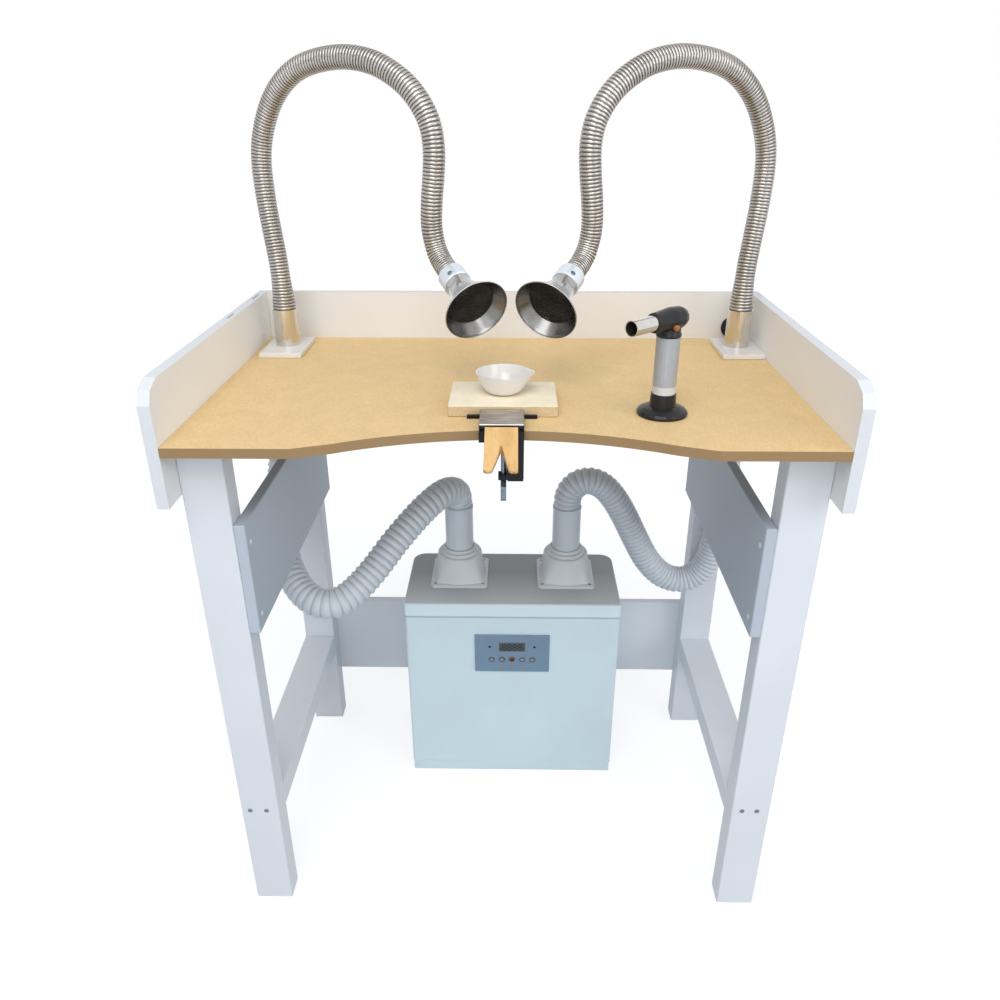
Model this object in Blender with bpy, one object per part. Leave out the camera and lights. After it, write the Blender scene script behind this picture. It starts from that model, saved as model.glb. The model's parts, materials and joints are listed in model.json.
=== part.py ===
"""Jeweller's workbench with a twin-arm fume extractor, at its real size in metres.

Origin: on the floor, under the middle of the whole object. +X right, +Y to the back, +Z up.
Depths are measured back from the front edge of the bench top, heights from the floor.
"""

import math

import bmesh
import bpy
from mathutils import Matrix, Vector

# Bench
BENCH_WIDTH = 1.000
BOARD = 0.018
HALF_INNER = BENCH_WIDTH / 2 - BOARD
TOP_HEIGHT = 0.968
TOP_THICKNESS = 0.015
TOP_DEPTH = 0.5974
FRONT_Y = -0.3085
GALLERY_TOP = 1.0594
SIDE_BOARD_BOTTOM = 0.873
CORNER_BACK, CORNER_DOWN, CORNER_MID = 0.037, 0.030, (0.30, 0.36)
CUTOUT_HALF, CUTOUT_ARC_HALF = 0.300, 0.247
CUTOUT_SHOULDER, CUTOUT_DEPTH = 0.018, 0.075
LEG_WIDTH, LEG_DEPTH = 0.0683, 0.044
FRONT_LEG_DEPTH, REAR_LEG_DEPTH = 0.0483, 0.5708
PANEL_BOTTOM, PANEL_TOP = 0.6234, 0.8208
PANEL_BACK = 0.604
STRETCHER_TOP, STRETCHER_HEIGHT = 0.2485, 0.044
BEAM_BOTTOM, BEAM_TOP = 0.122, 0.321
SLOT_DEPTHS = (0.400, 0.555)
SLOT_HALF = (0.0025, 0.0225, 0.010)
GROMMET_X, GROMMET_Z = 0.452, 0.9915
GROMMET_FLANGE, GROMMET_BARREL, GROMMET_BORE = 0.022, 0.0165, 0.0125
GROMMET_RIM, GROMMET_CROWN = 0.0028, 0.0038

# Extraction arms
ARM_X = {"left": -0.425, "right": 0.442}
ARM_DEPTH = 0.512
FLANGE_SIZE = (0.079, 0.122, 0.010)
FLANGE_DEPTH = 0.505
TUBE_RADIUS, TUBE_WALL = 0.023, 0.002
TUBE_TOP, TUBE_BOTTOM = 1.0467, 0.920
ADAPTER_RADIUS, ADAPTER_BOTTOM, ADAPTER_RIM, ADAPTER_RIM_HEIGHT = 0.031, 0.9172, 0.038, 0.004
NECK_CREST, NECK_VALLEY, NECK_BORE = 0.0183, 0.0166, 0.0140
NECK_RIBS, NECK_TIP_RIBS, NECK_SQUARE = 48, 8, 0.003
NECK_BORE_STEP, TIP_BORE_STEP, DUCT_BORE_STEP = 4, 2, 2
NECK_FLARE, NECK_FLARE_LENGTH = 1.22, 0.060
COLLAR_RADIUS, COLLAR_LENGTH, COLLAR_EDGE = 0.0235, 0.028, 0.0012
HOOD_WALL = 0.0015
HOOD_PROFILE = ((0.0, 0.0215), (0.014, 0.0225), (0.030, 0.0285), (0.046, 0.0375), (0.068, 0.0525))
SCREEN_AT, SCREEN_RADIUS, SCREEN_THICKNESS = 0.0435, 0.0335, 0.0015
SCREEN_HOLE, SCREEN_PITCH, SCREEN_RIM, SCREEN_SIDES = 0.0052, 0.0125, 0.002, 4
HOOD_AXIS = Vector((0.45, -0.79, -0.41)).normalized()
# The left gooseneck, from its tube to its hood collar: x, depth, height. The right one mirrors it.
NECK_ROUTE = (
    (-0.4250, 0.5120, 1.0470), (-0.4250, 0.5120, 1.0840), (-0.4268, 0.5135, 1.1300),
    (-0.4320, 0.5170, 1.1800), (-0.4380, 0.5220, 1.2365), (-0.4394, 0.5235, 1.3010),
    (-0.4300, 0.5190, 1.3490), (-0.4050, 0.5050, 1.4000), (-0.3690, 0.4850, 1.4370),
    (-0.3260, 0.4620, 1.4575), (-0.2660, 0.4290, 1.4655), (-0.2130, 0.4000, 1.4575),
    (-0.1720, 0.3780, 1.4370), (-0.1420, 0.3620, 1.4100), (-0.1215, 0.3520, 1.3750),
    (-0.1145, 0.3490, 1.3380), (-0.1165, 0.3520, 1.2980), (-0.1215, 0.3570, 1.2550),
    (-0.1235, 0.3640, 1.2150), (-0.1180, 0.3650, 1.1820), (-0.1070, 0.3530, 1.1600),
    (-0.0905, 0.3240, 1.1450),
)

# Fume extractor
CASE_X, CASE_FRONT = 0.0134, 0.395
CASE_WIDTH, CASE_DEPTH, CASE_TOP = 0.454, 0.215, 0.457
CASE_SHEET, LID_SKIRT, PLINTH = 0.0016, 0.031, 0.028
CASE_FRONT_RADIUS, CASE_REAR_RADIUS, CASE_LEAST_RADIUS = 0.005, 0.028, 0.001
PLINTH_INSET, LID_LIP, CASE_FLOOR, LID_PORT = 0.0012, 0.0006, 0.002, 0.040
VENT_COUNT, VENT_SIZE, VENT_PITCH = 8, (0.160, 0.020, 0.006), 0.012
VENT_BOTTOM = 0.040
PANEL_SIZE, PANEL_EDGE = (0.160, 0.095, 0.004), 0.0008
PANEL_Z, WINDOW_Z, BUTTON_Z = 0.3335, 0.3512, 0.3185
WINDOW_SIZE, WINDOW_EDGE = (0.056, 0.022, 0.0010), 0.0003
BUTTON_PITCH, BUTTON_RADIUS, BUTTON_TRAVEL = 0.0218, 0.0066, 0.0008
BUTTON_PROUD, BUTTON_EDGE = 0.0012, 0.0006
PORT_OFFSET, PORT_DEPTH = 0.1155, 0.517
PORT_BORE = 0.0306
# The port's rings from its bore, round its square flange and up its stepped tower:
# half width, height over the lid, and share from square to circle.
PORT_RINGS = (
    (PORT_BORE, 0.0, 1.0), (0.0610, 0.0, 0.0), (0.0610, 0.006, 0.0), (0.0565, 0.009, 0.25),
    (0.0520, 0.028, 0.70), (0.0485, 0.052, 1.0), (0.0465, 0.060, 1.0), (0.0405, 0.061, 1.0),
    (0.0395, 0.067, 1.0), (0.0345, 0.068, 1.0), (0.0340, 0.074, 1.0), (PORT_BORE, 0.074, 1.0),
)
CUFF_RADIUS, CUFF_BEAD, CUFF_BEAD_HEIGHT = 0.0300, 0.0308, 0.006
CUFF_BOTTOM, CUFF_TOP = 0.468, 0.628
DUCT_CREST, DUCT_VALLEY, DUCT_BORE, DUCT_RIBS = 0.0290, 0.0262, 0.0225, 32
DECK_Z, FILTER_TOP, PREFILTER_TOP = 0.130, 0.338, 0.366
SCROLL_RADIUS, SCROLL_GROWTH, SCROLL_HEIGHT, SCROLL_WALL = 0.060, 0.026, 0.070, 0.002
SCROLL_START, SCROLL_TURN, SCROLL_STEPS = -80, 350, 22
SCROLL_EYE, OUTLET_HALF, OUTLET_REACH, OUTLET_LIP = 0.044, 0.030, 0.100, 0.004
IMPELLER_RADIUS, IMPELLER_HUB, IMPELLER_BLADES, IMPELLER_HEIGHT = 0.052, 0.018, 16, 0.046
BLADE_CORNERS = (
    (IMPELLER_HUB, 0.0), (IMPELLER_RADIUS, 0.30), (IMPELLER_RADIUS, 0.42), (IMPELLER_HUB, 0.20),
)
IMPELLER_LIFT, BLOWER_FORWARD = 0.008, 0.004
MOTOR_RADIUS, MOTOR_EDGE, SHAFT_RADIUS, SHAFT_RISE, SHAFT_HOLE = 0.045, 0.004, 0.004, 0.052, 0.007
# The two ducts, from their cuffs to the adapters under the bench top: x, depth, height.
DUCT_ROUTES = {
    "left": (
        (-0.1021, 0.517, 0.6283), (-0.1021, 0.517, 0.6450), (-0.1060, 0.506, 0.6720),
        (-0.1190, 0.480, 0.6900), (-0.1400, 0.448, 0.6900), (-0.1720, 0.412, 0.6680),
        (-0.2150, 0.365, 0.6250), (-0.2580, 0.318, 0.5810), (-0.2950, 0.282, 0.5530),
        (-0.3300, 0.262, 0.5420), (-0.3680, 0.268, 0.5470), (-0.4020, 0.298, 0.5610),
        (-0.4310, 0.345, 0.5850), (-0.4520, 0.395, 0.6220), (-0.4590, 0.440, 0.6720),
        (-0.4575, 0.480, 0.7350), (-0.4535, 0.505, 0.7900), (-0.4480, 0.511, 0.8200),
        (-0.4370, 0.5125, 0.8440), (-0.4275, 0.512, 0.8660), (-0.4250, 0.512, 0.8850),
        (-0.4250, 0.512, 0.9162),
    ),
    "right": (
        (0.1289, 0.517, 0.6283), (0.1289, 0.517, 0.6450), (0.1350, 0.517, 0.6720),
        (0.1520, 0.518, 0.6930), (0.1780, 0.519, 0.6980), (0.2040, 0.520, 0.6830),
        (0.2280, 0.521, 0.6500), (0.2520, 0.523, 0.6020), (0.2800, 0.526, 0.5450),
        (0.3100, 0.529, 0.4900), (0.3450, 0.531, 0.4520), (0.3830, 0.532, 0.4380),
        (0.4200, 0.533, 0.4500), (0.4450, 0.533, 0.4870), (0.4550, 0.532, 0.5450),
        (0.4570, 0.529, 0.6200), (0.4560, 0.523, 0.7000), (0.4520, 0.516, 0.7800),
        (0.4470, 0.512, 0.8400), (0.4420, 0.512, 0.8720), (0.4420, 0.512, 0.9162),
    ),
}

# Bench pin and its clamp
CLAMP_X = -0.004
ANVIL_WIDTH, ANVIL_FRONT, ANVIL_BACK, ANVIL_THICKNESS = 0.066, 0.064, 0.1295, 0.008
JAW_THICKNESS, JAW_BAR_WIDTH, JAW_BAR_DEPTH = 0.005, 0.107, 0.006
BODY_FRONT, BODY_BACK, BODY_BOTTOM = 0.052, 0.0730, 0.900
SPINE_WIDTH, CHEEK_RISE = 0.026, 0.005
ARM_WIDTH, ARM_REACH, ARM_BOTTOM, ARM_TOP, ARM_LAP = 0.024, 0.104, 0.889, 0.905, 0.004
FOOT_HALF, FOOT_BOTTOM, FOOT_TOP = 0.008, 0.882, 0.8905
PIN_WIDTH, PIN_LENGTH, PIN_SLOPE = 0.048, 0.0890, math.radians(21.0)
PIN_ROOT_DEPTH, PIN_ROOT_RISE, PIN_THICK, PIN_TIP_THICK = 0.0618, 0.0104, 0.022, 0.016
PIN_NOTCH_LENGTH, PIN_NOTCH_HALF, PIN_NOTCH_FLOOR, PIN_CORNER = 0.050, 0.0115, 0.0012, 0.003
SCREW_X, SCREW_DEPTH, SCREW_RADIUS = -0.0015, 0.096, 0.004
SCREW_BOTTOM, PADDLE_HEIGHT, PADDLE_HALF, PADDLE_THICK = 0.847, 0.034, 0.013, 0.0085
PADDLE_EDGE, PADDLE_SHOULDER = 0.005, 0.008
PAD_RADIUS, PAD_NECK, PAD_HEIGHT = 0.011, 0.007, 0.006

# Soldering board, dish and torch
SOLDER_X, SOLDER_DEPTH, SOLDER_SIZE = -0.003, 0.191, (0.168, 0.120, 0.018)
DISH_X, DISH_DEPTH = -0.003, 0.198
DISH_RADIUS, DISH_FOOT, DISH_HEIGHT, DISH_WALL = 0.0436, 0.0205, 0.033, 0.003
DISH_FLARE, DISH_STEPS, DISH_SPOUT, SPOUT_ANGLE = 0.62, 5, 0.006, 24.0
TORCH_X, TORCH_DEPTH = 0.242, 0.151
TORCH_AIM = Vector((-0.74, -0.67, 0.0)).normalized()
TORCH_BASE, TORCH_NECK, TORCH_BODY = 0.039, 0.0192, 0.0179
TORCH_BODY_BOTTOM, TORCH_BODY_TOP, TORCH_AXIS = 0.0335, 0.121, 0.146
HEAD_RADIUS, HEAD_FRONT, HEAD_TAIL = 0.0168, 0.039, 0.033
NOZZLE_RADIUS, NOZZLE_WALL, NOZZLE_END, NOZZLE_FLOOR = 0.0118, 0.0012, 0.086, 0.006
# Turned profiles of the torch, as radius and height, each from its top down.
STAND_PROFILE = (
    (0.0, TORCH_BODY_BOTTOM), (TORCH_NECK, TORCH_BODY_BOTTOM), (0.0202, 0.0140), (0.0290, 0.0115),
    (0.0365, 0.0075), (TORCH_BASE, 0.0040), (TORCH_BASE, 0.0010), (0.0380, 0.0), (0.0, 0.0),
)
NECK_PROFILE = (
    (0.0, TORCH_AXIS), (0.0168, TORCH_AXIS), (0.0176, 0.127), (TORCH_NECK, 0.125),
    (TORCH_NECK, TORCH_BODY_TOP), (0.0, TORCH_BODY_TOP),
)
BARREL_PROFILE = (
    (0.0, HEAD_FRONT + HEAD_TAIL), (0.0148, HEAD_FRONT + HEAD_TAIL), (0.0158, 0.055),
    (HEAD_RADIUS + 0.001, 0.0335), (HEAD_RADIUS, 0.014), (0.0138, 0.005), (0.0078, 0.0), (0.0, 0.0),
)
TRIGGER_RADIUS, TRIGGER_LENGTH, TRIGGER_SOCKET = 0.0048, 0.007, 0.006
TRIGGER_SIDE = Vector((0.38, -0.925, 0.0)).normalized()
TRIGGER_SEAT, TRIGGER_HEIGHT = 0.0162, 0.137

GAP = 0.0003
OVERRUN = 0.010
ROUND, SMALL_ROUND, WIDE_ROUND = 24, 14, 28
WOOD_EDGE, METAL_EDGE = 0.0015, 0.0012
SMOOTH_ANGLE = math.radians(35.0)

COLOURS = {
    "mdf": ((0.60, 0.43, 0.21), 0.75, 0.0),
    "white_paint": ((0.80, 0.82, 0.86), 0.45, 0.0),
    "black_plastic": ((0.015, 0.015, 0.017), 0.40, 0.0),
    "stainless": ((0.55, 0.53, 0.50), 0.28, 1.0),
    "white_plastic": ((0.80, 0.80, 0.79), 0.35, 0.0),
    "zinc_sleeve": ((0.72, 0.76, 0.80), 0.35, 0.6),
    "powder_coat": ((0.56, 0.66, 0.72), 0.45, 0.0),
    "panel_film": ((0.22, 0.29, 0.36), 0.30, 0.0),
    "smoked_window": ((0.02, 0.02, 0.025), 0.10, 0.0),
    "button_grey": ((0.30, 0.35, 0.40), 0.35, 0.0),
    "button_orange": ((0.80, 0.20, 0.05), 0.35, 0.0),
    "port_plastic": ((0.48, 0.52, 0.56), 0.45, 0.0),
    "duct_pvc": ((0.55, 0.59, 0.63), 0.40, 0.0),
    "filter_media": ((0.72, 0.72, 0.68), 0.90, 0.0),
    "dark_mesh": ((0.03, 0.03, 0.03), 0.60, 0.3),
    "clamp_black": ((0.012, 0.012, 0.013), 0.45, 0.0),
    "anvil_steel": ((0.42, 0.40, 0.38), 0.40, 1.0),
    "pin_wood": ((0.80, 0.55, 0.26), 0.60, 0.0),
    "screw_steel": ((0.28, 0.32, 0.36), 0.40, 1.0),
    "solder_board": ((0.84, 0.76, 0.60), 0.85, 0.0),
    "porcelain": ((0.86, 0.85, 0.83), 0.12, 0.0),
    "torch_sleeve": ((0.66, 0.68, 0.70), 0.35, 0.0),
    "torch_chrome": ((0.70, 0.68, 0.66), 0.12, 1.0),
}


def at(x, depth, z):
    """A point given by its depth back from the front edge of the bench top."""
    return Vector((x, FRONT_Y + depth, z))


def clear_scene():
    for obj in list(bpy.data.objects):
        bpy.data.objects.remove(obj, do_unlink=True)


def material(name):
    found = bpy.data.materials.get(name)
    if found:
        return found
    colour, roughness, metallic = COLOURS[name]
    made = bpy.data.materials.new(name)
    made.use_nodes = True
    shader = made.node_tree.nodes["Principled BSDF"]
    shader.inputs["Base Color"].default_value = (*colour, 1.0)
    shader.inputs["Roughness"].default_value = roughness
    shader.inputs["Metallic"].default_value = metallic
    return made


def pivot(name, location):
    """An empty that carries a moving assembly, on its joint's axis."""
    empty = bpy.data.objects.new(name, None)
    empty.empty_display_size = 0.03
    empty.location = location
    bpy.context.scene.collection.objects.link(empty)
    return empty


def add(name, bm, finish, parent=None, origin=None, smooth=True):
    """A named object from a bmesh in world space, with its own origin and, if any, its carrier."""
    bmesh.ops.remove_doubles(bm, verts=bm.verts, dist=1e-6)
    bmesh.ops.recalc_face_normals(bm, faces=bm.faces)
    place = Vector(origin) if origin else Vector((0.0, 0.0, 0.0))
    if parent:
        place = parent.location.copy()
    bmesh.ops.translate(bm, verts=bm.verts, vec=-place)
    mesh = bpy.data.meshes.new(name)
    bm.to_mesh(mesh)
    bm.free()
    if smooth:
        mesh.shade_smooth()
        mesh.set_sharp_from_angle(angle=SMOOTH_ANGLE)
    obj = bpy.data.objects.new(name, mesh)
    bpy.context.scene.collection.objects.link(obj)
    obj.location = place
    if parent:
        obj.parent = parent
        obj.location = (0.0, 0.0, 0.0)
    if finish:
        mesh.materials.append(material(finish))
    return obj


def combine(obj, shape, label, operation="DIFFERENCE"):
    """A Boolean with a bmesh shape in world space, which stays as a hidden cutter."""
    cutter = add(f"{obj.name}_{label}", shape, None, smooth=False)
    cutter.hide_render = True
    cutter.display_type = "WIRE"
    modifier = obj.modifiers.new(label, "BOOLEAN")
    modifier.operation = operation
    modifier.object = cutter
    modifier.solver = "EXACT"
    return obj


def block(low, high):
    """A box between two corners."""
    bm = bmesh.new()
    low, high = Vector(low), Vector(high)
    size = high - low
    move = Matrix.Translation((low + high) / 2) @ Matrix.Diagonal((*size, 1.0))
    bmesh.ops.create_cube(bm, size=1.0, matrix=move)
    return bm


def soften(bm, width, segments=1):
    """Rounds every edge of a shape."""
    bmesh.ops.bevel(
        bm, geom=list(bm.edges), offset=width, segments=segments, profile=0.5, affect="EDGES"
    )
    return bm


def prism(outline, start, end, axis="Z"):
    """An outline pushed along an axis: X takes (y, z) points, Y takes (x, z) and Z takes (x, y)."""
    bm = bmesh.new()
    place = {
        "X": lambda a, b: (start, a, b),
        "Y": lambda a, b: (a, start, b),
        "Z": lambda a, b: (a, b, start),
    }[axis]
    step = Vector((axis == "X", axis == "Y", axis == "Z")) * (end - start)
    face = bm.faces.new([bm.verts.new(place(a, b)) for a, b in outline])
    made = bmesh.ops.extrude_face_region(bm, geom=[face])
    verts = [item for item in made["geom"] if isinstance(item, bmesh.types.BMVert)]
    bmesh.ops.translate(bm, verts=verts, vec=step)
    return bm


def turned(profile, move=None, steps=ROUND, closed=True):
    """A profile of (radius, height) points turned about +Z. An open profile ends on the axis."""
    bm = bmesh.new()
    verts = [bm.verts.new((radius, 0.0, height)) for radius, height in profile]
    pairs = list(zip(verts, verts[1:]))
    if closed:
        pairs.append((verts[-1], verts[0]))
    edges = [bm.edges.new(pair) for pair in pairs]
    bmesh.ops.spin(
        bm, geom=verts + edges, axis=(0, 0, 1), cent=(0, 0, 0), steps=steps, angle=math.tau
    )
    bmesh.ops.remove_doubles(bm, verts=bm.verts, dist=1e-6)
    bmesh.ops.dissolve_degenerate(bm, edges=bm.edges, dist=1e-7)
    if move:
        bmesh.ops.transform(bm, matrix=move, verts=bm.verts)
    return bm


def rod(radius, low, high, steps=ROUND):
    """A round bar between two points."""
    low, high = Vector(low), Vector(high)
    length = (high - low).length
    profile = [(0.0, length), (radius, length), (radius, 0.0), (0.0, 0.0)]
    return turned(profile, along(low, high - low), steps, closed=False)


def along(origin, direction):
    """A frame at a point whose +Z runs along a direction."""
    turn = Vector(direction).to_track_quat("Z", "Y").to_matrix().to_4x4()
    return Matrix.Translation(Vector(origin)) @ turn


def arc(centre, radius, start, end, count):
    """Points of an arc, from one angle to another in degrees."""
    angles = [math.radians(start + (end - start) * step / count) for step in range(count + 1)]
    return [(centre[0] + radius * math.cos(a), centre[1] + radius * math.sin(a)) for a in angles]


def smooth_line(route, spacing):
    """Evenly spaced points on a smooth curve through a route."""
    points = [Vector(point) for point in route]
    ends = [2 * points[0] - points[1], *points, 2 * points[-1] - points[-2]]
    fine = []
    for before, first, second, after in zip(ends, ends[1:], ends[2:], ends[3:]):
        for step in range(24):
            t = step / 24
            fine.append(
                0.5 * (2 * first + (second - before) * t
                       + (2 * before - 5 * first + 4 * second - after) * t**2
                       + (3 * first - before - 3 * second + after) * t**3)
            )
    fine.append(points[-1])
    lengths = [0.0]
    for one, two in zip(fine, fine[1:]):
        lengths.append(lengths[-1] + (two - one).length)
    count = max(2, round(lengths[-1] / spacing))
    line, index = [], 0
    for step in range(count + 1):
        wanted = lengths[-1] * step / count
        while index < len(fine) - 2 and lengths[index + 1] < wanted:
            index += 1
        share = (wanted - lengths[index]) / (lengths[index + 1] - lengths[index])
        line.append(fine[index].lerp(fine[index + 1], share))
    return line


def swept(points, radii):
    """A closed round tube through points, with a radius at each, from a bevelled curve."""
    curve = bpy.data.curves.new("swept", "CURVE")
    curve.dimensions = "3D"
    curve.bevel_depth = 1.0
    curve.bevel_resolution = 2
    curve.use_fill_caps = True
    spline = curve.splines.new("POLY")
    spline.points.add(len(points) - 1)
    for vertex, point, radius in zip(spline.points, points, radii):
        vertex.co = (*point, 1.0)
        vertex.radius = radius
    guide = bpy.data.objects.new("swept", curve)
    bpy.context.scene.collection.objects.link(guide)
    graph = bpy.context.evaluated_depsgraph_get()
    mesh = bpy.data.meshes.new_from_object(guide.evaluated_get(graph))
    bpy.data.objects.remove(guide, do_unlink=True)
    bm = bmesh.new()
    bm.from_mesh(mesh)
    bpy.data.meshes.remove(mesh)
    return bm


def stretched(points, length):
    """The points with both ends moved outwards along the line."""
    points = [point.copy() for point in points]
    points[0] += (points[0] - points[1]).normalized() * length
    points[-1] += (points[-1] - points[-2]).normalized() * length
    return points


def rib_radii(count, crest, valley):
    """Radii of a ribbed tube, two points to a rib."""
    return [crest if index % 2 else valley for index in range(count)]


def ribbed_hose(name, line, radii, bore, finish, bore_step, parent=None):
    """A hose along a line, with a radius at each point, and its bore cut through."""
    hose = add(name, swept(line, radii), finish, parent)
    core = line[::bore_step]
    if core[-1] != line[-1]:
        core.append(line[-1])
    core = stretched(core, NECK_SQUARE)
    return combine(hose, swept(core, [bore] * len(core)), "bore")


def build_bench():
    """The top, its gallery boards, the legs and the boards that join them."""
    top_under = TOP_HEIGHT - TOP_THICKNESS
    edge = HALF_INNER - GAP
    sagitta = CUTOUT_DEPTH - CUTOUT_SHOULDER
    radius = (CUTOUT_ARC_HALF**2 + sagitta**2) / (2 * sagitta)
    half_angle = math.degrees(math.asin(CUTOUT_ARC_HALF / radius))
    centre = (0.0, FRONT_Y + CUTOUT_DEPTH - radius)
    outline = [(-edge, FRONT_Y), (-CUTOUT_HALF, FRONT_Y)]
    outline += arc(centre, radius, 90 + half_angle, 90 - half_angle, 20)
    outline += [(CUTOUT_HALF, FRONT_Y), (edge, FRONT_Y)]
    outline += [(edge, FRONT_Y + TOP_DEPTH - GAP), (-edge, FRONT_Y + TOP_DEPTH - GAP)]
    top = add("bench_top", prism(outline, top_under, TOP_HEIGHT), "mdf")
    for name, x in ARM_X.items():
        low, high = at(x, ARM_DEPTH, top_under - OVERRUN), at(x, ARM_DEPTH, TOP_HEIGHT + OVERRUN)
        combine(top, rod(TUBE_RADIUS + 2 * GAP, low, high), f"{name}_hole")

    back = FRONT_Y + TOP_DEPTH + BOARD
    corner = [
        (FRONT_Y, GALLERY_TOP - CORNER_DOWN),
        (FRONT_Y + CORNER_MID[0] * CORNER_BACK, GALLERY_TOP - CORNER_MID[1] * CORNER_DOWN),
        (FRONT_Y + CORNER_BACK, GALLERY_TOP),
    ]
    side = [(FRONT_Y, SIDE_BOARD_BOTTOM), *corner, (back, GALLERY_TOP), (back, SIDE_BOARD_BOTTOM)]
    for name, sign in (("left", -1), ("right", 1)):
        inner, outer = sorted((sign * HALF_INNER, sign * BENCH_WIDTH / 2))
        board = add(f"{name}_side_board", prism(side, inner, outer, "X"), "white_paint")
        if name == "left":
            for index, depth in enumerate(SLOT_DEPTHS):
                spot = at((inner + outer) / 2, depth, GALLERY_TOP)
                half = Vector(SLOT_HALF)
                combine(board, block(spot - half, spot + half), f"slot_{index}")

    low = at(-edge, TOP_DEPTH, top_under + GAP)
    back_board = add("back_board", block(low, (edge, back, GALLERY_TOP)), "white_paint")
    hole = rod(
        GROMMET_BARREL + 2 * GAP,
        at(GROMMET_X, TOP_DEPTH - OVERRUN, GROMMET_Z),
        at(GROMMET_X, TOP_DEPTH + BOARD + OVERRUN, GROMMET_Z),
    )
    combine(back_board, hole, "cable_hole")
    profile = [
        (GROMMET_FLANGE, GAP), (GROMMET_FLANGE, GROMMET_RIM), (GROMMET_BORE, GROMMET_CROWN),
        (GROMMET_BORE, -BOARD), (GROMMET_BARREL, -BOARD), (GROMMET_BARREL, GAP),
    ]
    face = along(at(GROMMET_X, TOP_DEPTH, GROMMET_Z), (0, -1, 0))
    add("cable_grommet", turned(profile, face), "black_plastic")

    for end, depth in (("front", FRONT_LEG_DEPTH), ("rear", REAR_LEG_DEPTH)):
        for name, sign in (("left", -1), ("right", 1)):
            inner, outer = sorted((sign * (HALF_INNER - LEG_WIDTH), sign * (HALF_INNER - GAP)))
            leg = block(at(inner, depth, 0.0), at(outer, depth + LEG_DEPTH, top_under - GAP))
            add(f"{end}_{name}_leg", soften(leg, WOOD_EDGE), "white_paint")
    for name, sign in (("left", -1), ("right", 1)):
        inner, outer = sorted(sign * (HALF_INNER - LEG_WIDTH - shift) for shift in (GAP, BOARD))
        low = at(inner, FRONT_LEG_DEPTH, PANEL_BOTTOM)
        panel = soften(block(low, at(outer, PANEL_BACK, PANEL_TOP)), WOOD_EDGE)
        add(f"{name}_side_panel", panel, "white_paint")
        inner, outer = sorted((sign * (HALF_INNER - LEG_WIDTH), sign * (HALF_INNER - GAP)))
        low = at(inner, FRONT_LEG_DEPTH + LEG_DEPTH + GAP, STRETCHER_TOP - STRETCHER_HEIGHT)
        rail = soften(block(low, at(outer, REAR_LEG_DEPTH - GAP, STRETCHER_TOP)), WOOD_EDGE)
        add(f"{name}_stretcher", rail, "white_paint")
    low = at(-edge, REAR_LEG_DEPTH + LEG_DEPTH + GAP, BEAM_BOTTOM)
    beam = block(low, at(edge, REAR_LEG_DEPTH + LEG_DEPTH + BOARD, BEAM_TOP))
    add("rear_beam", soften(beam, WOOD_EDGE), "white_paint")


def hood_outline(wall):
    return [(radius - wall, height) for height, radius in HOOD_PROFILE]


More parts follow.
